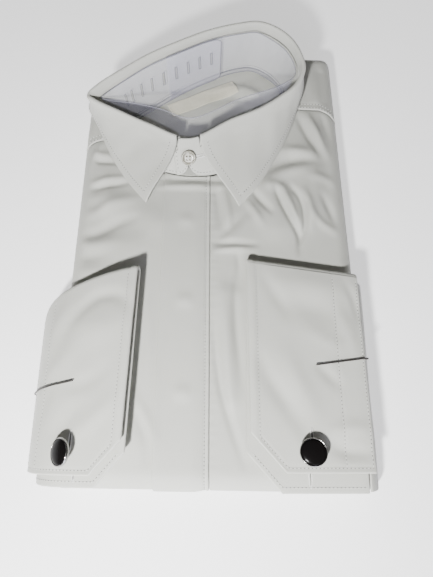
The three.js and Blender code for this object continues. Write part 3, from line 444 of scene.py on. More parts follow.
def fold_height(x, y, table):
    """The sum of a table's folds: each falls away from its line as a bell curve."""
    height = np.zeros(np.broadcast(x, y).shape)
    for from_x, from_y, to_x, to_y, spread, rise in table:
        step_x, step_y = to_x - from_x, to_y - from_y
        t = np.clip(((x - from_x) * step_x + (y - from_y) * step_y) / (step_x**2 + step_y**2), 0, 1)
        away = (x - from_x - step_x * t) ** 2 + (y - from_y - step_y * t) ** 2
        height += rise * np.exp(-away / spread**2)
    return height


def crease_height(x, y, table):
    """The sum of a table's creases. Each is a bell curve about a smooth line, fading to nothing at
    both ends: the sixth-power mean of bells set closely along the line, so that it has no beads."""
    x, y = np.broadcast_arrays(np.asarray(x, float), np.asarray(y, float))
    height = np.zeros(x.shape)
    for spread, rise, *line in table:
        line = np.array(line, float).reshape(-1, 2)
        path = curve_points(line, np.linspace(0, 1, 44), closed=False)
        step = np.linalg.norm(np.diff(path, axis=0), axis=1).mean()
        fade = np.sin(np.pi * np.linspace(0.02, 0.98, 44)) ** 0.8
        near = (np.abs(x - path[:, 0].mean()) < np.ptp(path[:, 0]) / 2 + 3 * spread)
        near &= np.abs(y - path[:, 1].mean()) < np.ptp(path[:, 1]) / 2 + 3 * spread
        away = (x[near][:, None] - path[:, 0]) ** 2 + (y[near][:, None] - path[:, 1]) ** 2
        total = (fade**6 * np.exp(-6 * away / spread**2)).sum(-1)
        height[near] += rise * (total * step / (spread * np.sqrt(np.pi / 6))) ** (1 / 6)
    return height


CREASE_DEPTH = 1.15
CHEST_DEPTH = 0.4


def front_rise(x, y):
    """Height of the front's folds, held down near the sides so that the edges stay smooth. The
    creases go deeper on the upper chest, apart from a strip that the placket covers."""
    broad = fold_height(x, y, FRONT_FOLDS) * smooth(FLAT_X - np.abs(x), 0, 14)
    small = crease_height(x, y, FRONT_CREASES) * smooth(FLAT_X + 8 - np.abs(x), 0, 10)
    deeper = CREASE_DEPTH + CHEST_DEPTH * smooth(y, -14, 8) * smooth(np.abs(x + 20), 20, 28)
    return broad + deeper * small + fold_height(x, y, BUTTONS_BELOW)


def edged(start, end, count, radius=0.8):
    """Even steps from start to end, with closer steps within a radius of both ends."""
    near = radius * (1 - np.cos(np.linspace(0, np.pi / 2, 5)))
    way = np.sign(end - start)
    middle = np.linspace(start + way * radius * 1.6, end - way * radius * 1.6, count)
    return np.concatenate([start + way * near, middle, end - way * near[::-1]])


def edge_round(distance, radius=0.8):
    """How full a wall is at a distance from its edge: a half circle's height, at least a tenth."""
    t = np.clip(1 - distance / radius, 0, 1)
    return np.maximum(np.sqrt(1 - t * t), 0.1)


def wall_object(name, outer, inner, flat, material):
    """A closed wall from two grids: the outer face, the inner face and a rim joining their borders."""
    rows, columns = outer.shape[:2]
    index = np.arange(rows * columns).reshape(rows, columns)
    ring = np.concatenate([index[:, 0], index[-1, 1:], index[-2::-1, -1], index[0, -2:0:-1]])
    after = np.roll(ring, -1)
    back = rows * columns
    rim = np.stack([ring, ring + back, after + back, after], -1)
    faces = np.concatenate([grid_faces(index), grid_faces(index)[:, ::-1] + back, rim])
    points = np.concatenate([outer.reshape(-1, 3), inner.reshape(-1, 3)])
    flat = flat.reshape(-1, 2)
    return mesh_object(name, points, faces, np.concatenate([flat, flat]), material)


def panel_object(name, x, y, low, high, fullness):
    """A panel laid over the folded body between two heights, thinned to a round edge by fullness."""
    middle = (low + high) / 2
    half = (high - low) / 2 * fullness
    outer = pack_point(x, y, middle + half)
    inner = pack_point(x, y, middle - half)
    return wall_object(name, outer, inner, np.stack([x, y], -1), shirt_cotton)


def front_rows(x, top):
    """Rows up a front for each column: round the bottom fold, then evenly up to its top line."""
    skirt = edged(-SKIRT, 0, 16)[:-5]
    share = edged(0, 1, 150, 0.004)[5:]
    low = flat_bottom(x)
    return np.concatenate([low[:, None] + skirt, low[:, None] + (top - low)[:, None] * share], 1)


def front_panel(columns, trim):
    """A front from its columns: rows to the seam, folds, and a dip along the neck and yoke seam."""
    top = seam_y(columns, neck_front) - trim
    y = front_rows(columns, top)
    x = np.broadcast_to(columns[:, None], y.shape)
    to_side = np.minimum(x - columns[0], columns[-1] - x)
    to_end = np.minimum(y - y[:, :1], top[:, None] - y)
    rise = front_rise(x, y) - 0.35 * np.exp(-((top[:, None] - y) / 1.6) ** 2)
    fullness = edge_round(np.minimum(to_side, to_end))
    return x, y, rise, fullness


def seam_pucker(x, y):
    """Small uneven waves along the placket's seam, fading away from it as a bell curve."""
    return 0.13 * np.sin(y * 0.9 + np.sin(y * 0.31)) * np.exp(-((x - PLACKET_RIGHT) / 5) ** 2)


side_columns = edged(-FLAT_X - SKIRT, UNDER_EDGE, 100)
x, y, rise, fullness = front_panel(side_columns, SEAM)
right_front = panel_object("right_front_cloth", x, y, rise, rise + CLOTH, fullness)
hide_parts("right_front")

side_columns = edged(PLACKET_RIGHT + 0.15, FLAT_X + SKIRT, 110)
x, y, rise, fullness = front_panel(side_columns, SEAM)
pucker = seam_pucker(x, y)
left_front = panel_object("left_front_cloth", x, y, rise + pucker, rise + pucker + CLOTH, fullness)
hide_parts("left_front")


# The fly placket. A folded band of the same cotton covers the buttons below: its left edge is a
# free fold lying on the right front, and its right edge is seamed to the left front and topstitched.
PLACKET_STITCH = 3.2


def placket_top(x):
    """Height of the placket's face: on the right front at its free edge, down level at its seam,
    with a low ridge beside the seam and a groove under the topstitching."""
    over = 1.15 * (1 - smooth(x, UNDER_EDGE + SEAM, PLACKET_RIGHT))
    ridge = 0.35 * np.exp(-((x - PLACKET_RIGHT + 1.0) / 0.8) ** 2)
    groove = 0.4 * np.exp(-((x - PLACKET_RIGHT + PLACKET_STITCH) / 0.9) ** 2)
    return CLOTH + over + ridge - groove


columns = edged(PLACKET_LEFT, PLACKET_RIGHT - 0.1, 44)
top = np.interp(columns, neck_front[:, 0], neck_front[:, 1]) - 0.2
y = front_rows(columns, top)
x = np.broadcast_to(columns[:, None], y.shape)
rise = front_rise(x, y)
pucker = seam_pucker(x, y)
lift = 0.25 * (1 + np.sin(y * 0.05 + 1)) * np.exp(-((x - PLACKET_LEFT) / 4) ** 2)
high = rise + pucker + lift + placket_top(x)
low = rise + pucker + 1.7 * (1 - smooth(x, UNDER_EDGE + SEAM, PLACKET_RIGHT - 3))
to_end = np.minimum(y - y[:, :1], top[:, None] - y)
fullness = edge_round(np.minimum(np.minimum(x - PLACKET_LEFT, PLACKET_RIGHT - 0.1 - x), to_end))
fly_placket = panel_object("placket_band", x, y, low, high, fullness)
placket_face = pack_point(x, y, high)
placket_seam = np.interp(PLACKET_RIGHT - PLACKET_STITCH, columns, np.arange(len(columns)))
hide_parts("fly_placket")


# The yokes. The outer yoke covers both shoulders and goes down behind the collar; its seam to the
# fronts is folded under and topstitched twice. The inner yoke is the same cloth inside the neck.
YOKE_STITCHES = (1.8, 5.4)
columns = edged(-FLAT_X - SKIRT, FLAT_X + SKIRT, 190)
start = seam_y(columns, neck_back) + 0.1
flat_end = np.maximum(flat_top(columns), start + 1)
share = edged(0, 1, 46, 0.008)[:-5]
skirt = edged(0, SKIRT, 16)
y = np.concatenate([start[:, None] + (flat_end - start)[:, None] * share,
                    flat_top(columns)[:, None] + skirt], 1)
x = np.broadcast_to(columns[:, None], y.shape)
past_seam = y - start[:, None]
rise = 0.45 * np.exp(-((past_seam - 1.2) / 1.6) ** 2)
rise -= (0.25 * np.exp(-((past_seam - YOKE_STITCHES[0]) / 0.6) ** 2)
         + 0.22 * np.exp(-((past_seam - YOKE_STITCHES[1]) / 0.7) ** 2))
YOKE_FOLDS = np.array([
    [84, 170, 90, 132, 7, 1.0], [97, 160, 98, 130, 4, -0.8], [-100, 116, -104, 96, 5, 0.8],
])
rise += fold_height(x, y, YOKE_FOLDS)
to_side = np.minimum(x - columns[0], columns[-1] - x)
fullness = edge_round(np.minimum(np.minimum(to_side, past_seam), y[:, -1:] - y))
outer_yoke = panel_object("outer_yoke_cloth", x, y, rise, rise + CLOTH, fullness)
yoke_face = pack_point(x, y, rise + CLOTH)
yoke_x = columns
yoke_past_seam = past_seam
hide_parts("outer_yoke")

columns = edged(neck_left[0] + 4, neck_right[0] - 4, 90)
low_y = np.interp(columns, neck_front[:, 0], neck_front[:, 1]) + 1
high_y = np.interp(columns, neck_back[:, 0], neck_back[:, 1]) - 1
y = low_y[:, None] + (high_y - low_y)[:, None] * edged(0, 1, 60, 0.01)
x = np.broadcast_to(columns[:, None], y.shape)
INNER_CREASES = [
    (4.5, 2.6, -6, 134, 14, 142, 30, 141, 42, 132, 48, 114),
    (4.0, -1.4, 0, 128, 18, 133, 32, 128, 38, 114), (5.0, 1.4, -52, 94, -26, 88, 0, 84),
    (6.0, 1.0, -60, 104, -40, 106, -24, 112), (4.0, 1.2, 20, 100, 34, 106, 44, 104),
]
rise = crease_height(x, y, INNER_CREASES) - 0.3
to_side = np.minimum(x - columns[0], columns[-1] - x)
to_edge = np.minimum(to_side, np.minimum(y - y[:, :1], y[:, -1:] - y))
inner_yoke = panel_object("inner_yoke_cloth", x, y, rise, rise + CLOTH, edge_round(to_edge))
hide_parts("inner_yoke")


# The neck label. A woven satin ribbon, folded under and stitched down at both ends, bare of words,
# sewn to the inner yoke and turned with the collar.
def woven_ribbon(name, colour):
    """Pale gold satin: close ribs across the ribbon from a sine wave of its length."""
    material, wire = new_material(name)
    place, along, across = flat_place(wire)
    rib = wire.math("SINE", along * (2 * np.pi / 0.0006))
    weft = wire.math("SINE", across * (2 * np.pi / 0.0009))
    cloud = noise(wire, place, 420.0, 2.0)
    finish_material(wire, {
        "Base Color": blend_colours(wire, cloud + rib * 0.1, [c * 0.82 for c in colour], colour),
        "Roughness": 0.38 + cloud * 0.1,
        "Sheen Weight": 0.2,
        "Normal": relief(wire, rib * 0.00002 + weft * 0.00001 + cloud * 0.0001),
    })
    return material


label_satin = woven_ribbon("label_satin", (0.74, 0.71, 0.58))
LABEL_LENGTH = 62
LABEL_WIDTH = 13
LABEL_ABOVE = 0.55
along, across = np.meshgrid(edged(0, LABEL_LENGTH, 60, 0.4), edged(0, LABEL_WIDTH, 16, 0.4),
                            indexing="ij")
turn = np.radians(24)
out_x, out_y = along - LABEL_LENGTH / 2, across - LABEL_WIDTH / 2
x = -8 + out_x * np.cos(turn) - out_y * np.sin(turn)
y = 132 + out_x * np.sin(turn) + out_y * np.cos(turn)
to_edge = np.minimum(np.minimum(along, LABEL_LENGTH - along), np.minimum(across, LABEL_WIDTH - across))
belly = 0.5 * np.sin(np.pi * along / LABEL_LENGTH) * (1 + 0.6 * np.sin(along * 0.23))
hem = 0.25 * np.exp(-(np.minimum(along, LABEL_LENGTH - along) / 1.6) ** 2)
base = crease_height(x, y, INNER_CREASES) + CLOTH - 0.25 + belly
half = (0.22 + hem) * edge_round(to_edge, 0.4)
label_face = pack_point(x, y, base + LABEL_ABOVE + half)
label_along = along[:, 0]
label = wall_object("neck_label_ribbon", label_face, pack_point(x, y, base + LABEL_ABOVE - half),
                    np.stack([along, across], -1), label_satin)
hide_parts("neck_label")


# The collar stand. A band of two cotton layers with interlining between, sewn to the neckline at
# its foot. It stands up to the roll, its ends lap at the centre front, and both lower corners are
# rounded up under the button.
STATIONS = len(COLLAR)
STAND_THICKNESS = 1.8
# Places round the collar are counted in rows of COLLAR, this many millimetres apart at the front
STATION = 29
STAND_END = 0.4
STAND_STITCH = 2.4
LEAF_START = 0.27
LEAF_END = STATIONS - 0.29
roll_table = np.column_stack([COLLAR[:, 2:4], 34 + 0.2 * COLLAR[:, 3]])
neck_table = np.column_stack([COLLAR[:, :2], np.full(STATIONS, NECK_Z)])


def collar_frame(station):
    """At a place round the collar: the neck seam's point, the way up to the roll, the way out, and
    the height. out is the roll's direction crossed with the way up."""
    share = np.asarray(station, float) / STATIONS
    foot = curve_points(neck_table, share % 1)
    roll = curve_points(roll_table, share % 1)
    height = np.linalg.norm(roll - foot, axis=-1, keepdims=True)
    up = (roll - foot) / height
    ahead = curve_points(roll_table, (share + 1e-4) % 1) - curve_points(roll_table, (share - 1e-4) % 1)
    out = np.cross(ahead, up)
    return foot, up, out / np.linalg.norm(out, axis=-1, keepdims=True), height


def stand_point(station, share, offset):
    """A point of the stand: a share of the way up, bowed out by a half sine, stepped apart where
    the two ends lap, and then moved out by offset."""
    foot, up, out, height = collar_frame(station)
    step = 1.5 * ((1 - smooth(station, 0, 1.2)) - smooth(station, STATIONS - 1.2, STATIONS))
    bow = 0.8 * np.sin(np.pi * share)
    return foot + up * height * share[..., None] + out * (bow + step + offset)[..., None]


def stand_edges(station):
    """The lowest and highest share of the stand at each place: the top drops steeply where the
    leaf's seam starts, on the lapped ends as well, the free upper corners curve down, and the
    lower corners rise as quarter circles."""
    height = collar_frame(station)[3][..., 0]
    from_centre = np.abs(np.where(station > STATIONS / 2, station - STATIONS, station)) * STATION
    reach = np.clip(1 - from_centre / 11, 0, 1)
    low = (11 - 11 * np.sqrt(1 - reach**2)) / height
    under_leaf = smooth(station, LEAF_START - 0.03, LEAF_START)
    under_leaf = under_leaf * (1 - smooth(station, LEAF_END, LEAF_END + 0.03))
    past = np.maximum(-station, station - STATIONS)
    under_leaf = under_leaf + smooth(past, LEAF_START - 0.03, LEAF_START)
    from_end = np.minimum(station + STAND_END, STATIONS + STAND_END - station) * STATION
    corner = np.clip(1 - from_end / 9, 0, 1)
    high = 0.985 - under_leaf * (8.3 / height - 0.015) - (8 - 8 * np.sqrt(1 - corner**2)) / height
    return low, high


ends = np.linspace(0, 1, 9) ** 1.5 * 0.06
stations = np.concatenate([
    -STAND_END + ends, np.linspace(-STAND_END + 0.07, 0.6, 44), np.linspace(0.62, STATIONS - 0.62, 230),
    np.linspace(STATIONS - 0.6, STATIONS + STAND_END - 0.07, 44), STATIONS + STAND_END - ends[::-1],
])
low, high = stand_edges(stations)
rows = edged(0, 1, 26, 0.03)
share = low[:, None] + (high - low)[:, None] * rows
station = np.broadcast_to(stations[:, None], share.shape)
height = collar_frame(station)[3][..., 0]
to_end = np.minimum(station + STAND_END, STATIONS + STAND_END - station) * STATION
from_foot = (share - low[:, None]) * height
from_top = (high[:, None] - share) * height
fullness = edge_round(np.minimum(np.minimum(from_foot, from_top), to_end), 0.9)
groove = 0.22 * np.exp(-((from_foot - STAND_STITCH) / 0.7) ** 2)
groove += 0.18 * np.exp(-((to_end - STAND_STITCH) / 0.7) ** 2)
swell = 0.12 * np.sin(station * 9 + share * 3) * np.sin(share * np.pi)
half = STAND_THICKNESS / 2 * fullness
stand_face = stand_point(station, share, swell + half - groove)
stand_from_foot = from_foot
stand_stations = stations
stand = wall_object(
    "collar_stand_band", stand_face, stand_point(station, share, swell - half),
    np.stack([station * 20, share * height], -1), shirt_cotton,
)
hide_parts("collar_stand")


# The collar leaf. Two cotton layers over interlining, sewn inside the stand's top, rolled over it
# and falling to its hem and two points. Topstitched 5.6 mm inside its edges.
LEAF_THICKNESS = 1.3
ROLL_RADIUS = 1.15
LEAF_STITCH = 5.6
hem = COLLAR[:, 4:6]
hem_rise = fold_height(*hem.T, FRONT_FOLDS) * smooth(FLAT_X - np.abs(hem[:, 0]), 0, 14)
hem_table = np.concatenate([np.column_stack([hem, NECK_Z + hem_rise]), [[-45, 21, NECK_Z + 4.5]]])


def cubic(start, first, second, end, t):
    """A cubic Bezier curve's point at t, from its start, two handles and end."""
    return (start * (1 - t) ** 3 + first * 3 * t * (1 - t) ** 2
            + second * 3 * t * t * (1 - t) + end * t**3)


def leaf_middle(stations, arc_rows, fall_rows):
    """The middle of the leaf's cloth for each place round the collar: up the inside of the stand,
    half a circle over the roll, then a cubic curve down to the hem, whose fall stands further off
    towards the point on the right front."""
    _, up, out, height = collar_frame(stations)
    count = len(stations)

    def on_stand(down, offset):
        return stand_point(stations, 1 - down / height[:, 0], np.full(count, offset))

    rows = [on_stand(8.0 - d, 0.0) for d in (0, 0.3, 1.0, 3.0, 4.5)]
    for angle in np.linspace(0, np.pi, arc_rows):
        rows.append(on_stand(ROLL_RADIUS * (1 - np.sin(angle)), ROLL_RADIUS * (1 - np.cos(angle))))
    start = rows[-1]
    hem = curve_points(hem_table, np.clip(stations / STATIONS, 0, 1), closed=False)
    reach = np.linalg.norm(start - hem, axis=1, keepdims=True)
    first = start - up * reach * 0.28
    stand_off = 1.5 + 3.0 * smooth(stations, STATIONS - 1.6, STATIONS - 0.4)
    second = hem + (start - hem) * 0.35 + out * stand_off[:, None]
    near_hem = 1 - np.array([0.018, 0.01, 0.004, 0.0])
    for t in np.concatenate([np.linspace(0, 1, fall_rows)[1:-1], near_hem]):
        rows.append(cubic(start, first, second, hem, t))
    return np.stack(rows, 1)


def grid_normals(points):
    """Unit normals of a grid: the steps down its columns crossed with the steps along its rows."""
    normal = np.cross(np.gradient(points, axis=1), np.gradient(points, axis=0))
    return normal / np.maximum(np.linalg.norm(normal, axis=-1, keepdims=True), 1e-9)


def walked(points, axis):
    """Length walked along one axis of a grid from its start."""
    steps = np.linalg.norm(np.diff(points, axis=axis), axis=-1)
    return np.concatenate([np.zeros_like(np.take(steps, [0], axis)), np.cumsum(steps, axis)], axis)


stations = np.concatenate([
    LEAF_START + np.array([0, 0.004, 0.012, 0.025]),
    np.linspace(LEAF_START + 0.05, LEAF_END - 0.05, 280),
    LEAF_END - np.array([0.025, 0.012, 0.004, 0]),
])
leaf = leaf_middle(stations, 13, 44)
normal = grid_normals(leaf)
along = walked(leaf, 0)
down = walked(leaf, 1)
to_front = np.minimum(along, along[-1:] - along)
to_hem = down[:, -1:] - down
fullness = edge_round(np.minimum(np.minimum(to_front, to_hem), down), 0.85)
falling = smooth(down, 16, 22)
front_groove = np.exp(-((to_front - LEAF_STITCH) / 0.8) ** 2) * (to_hem > 5)
hem_groove = np.exp(-((to_hem - LEAF_STITCH) / 0.8) ** 2) * (to_front > 5)
groove = falling * (front_groove + hem_groove)
wave = (0.35 * np.sin(stations * 2.9 + 0.6)[:, None]
        + 0.2 * np.sin(stations[:, None] * 7.1 + down * 0.12))
wave = falling * smooth(to_hem, 0, 12) * wave
middle = leaf + normal * wave[..., None]
outer = middle + normal * (LEAF_THICKNESS / 2 * fullness - 0.22 * groove)[..., None]
inner = middle - normal * (LEAF_THICKNESS / 2 * fullness)[..., None]
leaf_face, leaf_down, leaf_to_hem, leaf_to_front = outer, down, to_hem, to_front
collar_leaf = wall_object("collar_leaf_cloth", outer, inner, np.stack([along, down], -1),
                          shirt_cotton)
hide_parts("collar_leaf")


# The clear strip. A band of clear plastic film inside the collar holds it open; its ends lap at
# the back, and one end is punched with a row of upright slots.
SUPPORT = np.array([
    [-16, 72, -16, 86, 61], [20, 88, 22, 105, 60], [42, 103, 53, 118, 59], [57, 120, 66, 129, 58],
    [59, 131, 66, 138, 59], [56, 144, 60, 150, 61], [45, 155, 48, 160, 63], [34, 161, 36, 165, 65],
    [20, 159, 22, 163, 65], [-2, 150, -2, 158, 63.5], [-24, 138, -25, 148.5, 62],
    [-48, 121.5, -48.5, 138, 60], [-64, 109.5, -69, 125.5, 57], [-71, 103, -84, 115.5, 54],
    [-73, 99, -88, 111.5, 53.5], [-69, 95.5, -82, 109, 53.5], [-50, 90, -60, 103, 57],
    [-33, 80, -38, 95, 59.5],
])
SUPPORT_FROM = 8.6
SUPPORT_LAP = 1.9
FILM_STEP = 22
FILM_WIDTH = 33
SLOT_PLACES = (0.35, 0.78, 1.2, 1.62, 2.04, 2.46, 2.88, 3.3, 3.62)


def clear_film(name):
    """Clear film with a lilac tint: mostly see-through, clearest along the front left of the neck and
    milkier away from it as a painted reflection of the light, and greyer and rougher along its edges,
    its end and round each slot."""
    material, wire = new_material(name)
    _, along, across = flat_place(wire)
    ring = None
    hole = None
    for slot_place in SLOT_PLACES:
        side = wire.math("ABSOLUTE", along - slot_place * (FILM_STEP * 0.001))
        rise = wire.math("ABSOLUTE", across - 0.019)
        far = wire.math("MAXIMUM", side - 0.00055, rise - 0.0042)
        inside = wire.math("LESS_THAN", far, 0.0)
        edge = wire.math("LESS_THAN", wire.math("ABSOLUTE", far), 0.0005)
        hole = inside if hole is None else wire.math("MAXIMUM", hole, inside)
        ring = edge if ring is None else wire.math("MAXIMUM", ring, edge)
    edge_line = wire.math("GREATER_THAN", wire.math("ABSOLUTE", across - 0.0165), 0.0158)
    end_line = wire.math("LESS_THAN", along, 0.0008)
    # Painted reflection: away from the front left the lilac film turns milkier, standing in for the
    # light that the film reflects.
    off_front = wire.math("ABSOLUTE", along - 0.17) - 0.05
    behind = wire.math("MINIMUM", wire.math("MAXIMUM", off_front * 30, 0), 1)
    line = wire.math("MAXIMUM", wire.math("MAXIMUM", ring, edge_line), end_line)
    finish_material(wire, {
        "Base Color": blend_colours(wire, line, (0.8, 0.8, 0.95), (0.27, 0.27, 0.32)),
        "Roughness": 0.12 + line * 0.3,
        "IOR": 1.45,
        "Alpha": (0.03 + behind * 0.09 + line * 0.4) * (1 - hole),
    })
    return material


film = clear_film("clear_film")
stations = edged(SUPPORT_FROM, SUPPORT_FROM + len(SUPPORT) + SUPPORT_LAP, 220, 0.02)
rows = edged(0, 1, 12, 0.02)
station, share = np.meshgrid(stations, rows, indexing="ij")
turn = station / len(SUPPORT) % 1
foot = curve_points(np.column_stack([SUPPORT[:, :2], np.full(len(SUPPORT), 28.4)]), turn)
top = curve_points(SUPPORT[:, 2:5], turn)
ahead = curve_points(SUPPORT[:, 2:5], (turn + 1e-4) % 1)
ahead -= curve_points(SUPPORT[:, 2:5], (turn - 1e-4) % 1)
up = top - foot
tall = np.linalg.norm(up, axis=-1)
out = np.cross(ahead, up)
out /= np.linalg.norm(out, axis=-1, keepdims=True)
lap_end = SUPPORT_FROM + SUPPORT_LAP
round_again = SUPPORT_FROM + len(SUPPORT)
step = smooth(station, round_again - 1.5, round_again) - 1 + smooth(station, lap_end, lap_end + 1.5)
step = 0.6 * step
corner = np.clip(1 - (station - SUPPORT_FROM) / 0.28, 0, 1)
squeeze = 1 - 0.2 * (1 - np.sqrt(1 - corner**2))
place = foot + up * (0.5 + (share - 0.5) * squeeze)[..., None]
flat = np.stack([(station - SUPPORT_FROM) * FILM_STEP, share * FILM_WIDTH], -1)
strip = wall_object("clear_strip_film", place + out * (step + 0.2)[..., None],
                    place + out * (step - 0.2)[..., None], flat, film)
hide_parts("collar_support")


# The double cuffs. Each is one wide band of interlined cotton folded back on itself at its top, so
# both halves end at the bottom with a slanted corner and a buttonhole. They lie on the chest, each
# with a link; the right one stands off the front and droops over the body's edge.
CUFF_THICKNESS = 2.0
CUFF_WIDTH = 81
CUFF_LOWER = 29.2
CUFF_UPPER = 34.8
CUFF_SAG = 0.008
CUFF_DEPTH = 1.25
CUFF_STITCH = 6.4
END_STITCH = 3.2
CUFF_SEAM = 62
CHAMFER_SLOPE = 1.1
CHAMFER_SHARE = 0.74
# Each cuff's shape, and its folds as half width, height and the points of the line
LEFT_CUFF = {
    "side": 1, "hand": (26, 26), "top": (-19, -0.15, 0), "end": -167, "lower_end": -180, "shift": 2.5,
    "chamfer": 23, "bend_x": 99, "bend_radius": 50, "lift": 0.0, "sleeve": (8, 118.6, 4, 114),
    "folds": [
        (6, -1.3, 5, -86, 14, -106, 24, -122, 41, -149), (7, 1.1, 24, -86, 34, -110, 46, -134),
        (10, 1.3, 12, -36, 46, -40, 76, -46), (5, -0.8, 11, -30, 20, -46, 31, -64),
        (8, -0.8, 30, -52, 46, -58, 64, -62), (4, -0.9, 46, -95, 54, -104, 63, -113),
        (5, -1.3, 52, -149, 64, -154, 80, -154), (5, 0.9, 52, -142, 66, -139, 80, -140),
        (3, 0.5, 5, -24, 4.5, -90, 4, -155), (5, 0.8, 63, -54, 70, -72, 75, -92),
        (3, -0.9, 72, -38, 77, -52, 79, -68),
        (6, 0.6, 40, -71, 54, -80, 68, -87),
    ],
}
RIGHT_CUFF = {
    "side": -1, "hand": (-53, -58), "top": (-28, -0.08, -0.0035), "end": -168, "lower_end": -176,
    "shift": 0.8, "chamfer": 20, "bend_x": -101, "bend_radius": 35, "lift": np.radians(12),
    "sleeve": (3, -121.5, 1.7, -113.8),
    "folds": [
        (12, 1.4, 8, -66, 26, -72, 44, -70), (5, -1.3, 52, -80, 42, -62, 28, -50, 12, -50, 1, -60),
        (6, 1.0, 49, -52, 58, -70, 63, -90), (7, 0.8, 38, -80, 50, -96, 60, -108),
        (6, -0.8, 14, -99, 30, -110, 48, -112), (6, 0.8, 6, -118, 20, -132, 36, -146),
        (6, -0.8, 30, -120, 40, -134, 52, -146), (5, -0.7, 53, -104, 60, -122, 65, -142),
        (3, 0.5, 4, -40, 4, -95, 4, -148),
    ],
}


def cuff_point(cuff, c, y, level, lower=0.0):
    """A cuff's point: c across from its hand edge, y along, level the height of its flat part. It
    lifts at a slope towards the hand edge and past bend_x it turns down on a circle."""
    c, y, level, lower = np.broadcast_arrays(*(np.asarray(v, float) for v in (c, y, level, lower)))
    hand_top, hand_end = cuff["hand"]
    hand = hand_top + (hand_end - hand_top) * np.clip((-30 - y) / 130, 0, 1)
    off = level - CUFF_UPPER
    width = np.abs(cuff["bend_x"] - hand)
    flat = width / np.cos(cuff["lift"])
    shift = lower * cuff["shift"] * np.clip((cuff_top(cuff, c) - y) / 140, 0, 1)
    angle = cuff["lift"] + np.maximum(c - flat, 0) / cuff["bend_radius"]
    before = np.maximum(flat - c, 0)
    radius = cuff["bend_radius"] + off
    centre_x = width - cuff["bend_radius"] * np.sin(cuff["lift"])
    centre_z = CUFF_UPPER - cuff["bend_radius"] * np.cos(cuff["lift"])
    across = centre_x + radius * np.sin(angle) - before * np.cos(cuff["lift"]) - shift
    up = centre_z + radius * np.cos(angle) + before * np.sin(cuff["lift"])
    sag = CUFF_SAG * np.maximum(-FLAT_BOTTOM - y, 0) ** 2
    return np.stack([hand + cuff["side"] * across, y, up - sag], -1)


def cuff_top(cuff, c):
    """The line of the cuff's fold at its top, a shallow curve across it."""
    start, slope, curve = cuff["top"]
    return start + slope * c + curve * c * c


def cuff_lines(c, to_end):
    """Fine relief of the upper half's face: a groove under the stitching near the hand edge and the
    end, another at the sleeve seam, and a puffed border."""
    inset = np.minimum(c, to_end + END_STITCH)
    groove = 0.32 * np.exp(-((inset - CUFF_STITCH) / 0.8) ** 2)
    groove = groove + 0.2 * np.exp(-((c - CUFF_SEAM) / 0.8) ** 2)
    return 0.3 * np.exp(-((inset - 3.2) / 2.2) ** 2) - groove


def cuff_end(cuff, c):
    """How far the upper half's end is raised at c by its slanted corner, as a y."""
    return cuff["end"] + np.maximum(cuff["chamfer"] - c, 0) * CHAMFER_SLOPE


def cuff_slant(cuff, c):
    """The share of a length along the cuff that counts as distance to its end, which is slanted
    inside the chamfer."""
    return np.where(c < cuff["chamfer"], CHAMFER_SHARE, 1.0)


def cuff_folds(cuff, c, y):
    """Height of the upper half's folds, before they fade towards its end."""
    return CUFF_DEPTH * crease_height(c, y, cuff["folds"])


def cuff_face(cuff, c, y):
    """A point of the upper half's face."""
    c, y = np.broadcast_arrays(np.asarray(c, float), np.asarray(y, float))
    to_end = (y - cuff_end(cuff, c)) * cuff_slant(cuff, c)
    slow = cuff_folds(cuff, c, y) * smooth(to_end, 0, 12)
    level = CUFF_UPPER + CUFF_THICKNESS / 2 + slow + cuff_lines(c, to_end)
    return cuff_point(cuff, c, y, level)


def cuff_grid(cuff):
    """Columns across the cuff and rows along its section: up the lower half, half a circle over the
    fold, and down the upper half, whose ends follow the slanted corner."""
    columns = np.concatenate([
        edged(0, cuff["chamfer"], 16, 1.0)[:-5], np.linspace(cuff["chamfer"], CUFF_WIDTH - 2, 44),
        CUFF_WIDTH - (1 - np.cos(np.linspace(np.pi / 2, 0, 6))),
    ])
    half = (CUFF_UPPER - CUFF_LOWER) / 2
    top = cuff_top(cuff, columns) - half
    cut = np.maximum(cuff["chamfer"] - columns, 0) * CHAMFER_SLOPE
    legs = edged(0, 1, 84, 0.008)
    turn = np.linspace(0, np.pi, 13)
    low_y = (cuff["lower_end"] + cut)[:, None] + (top - cuff["lower_end"] - cut)[:, None] * legs[:-1]
    high_y = top[:, None] + (cuff["end"] + cut - top)[:, None] * legs[1:]
    return columns, half, top, low_y, turn, high_y


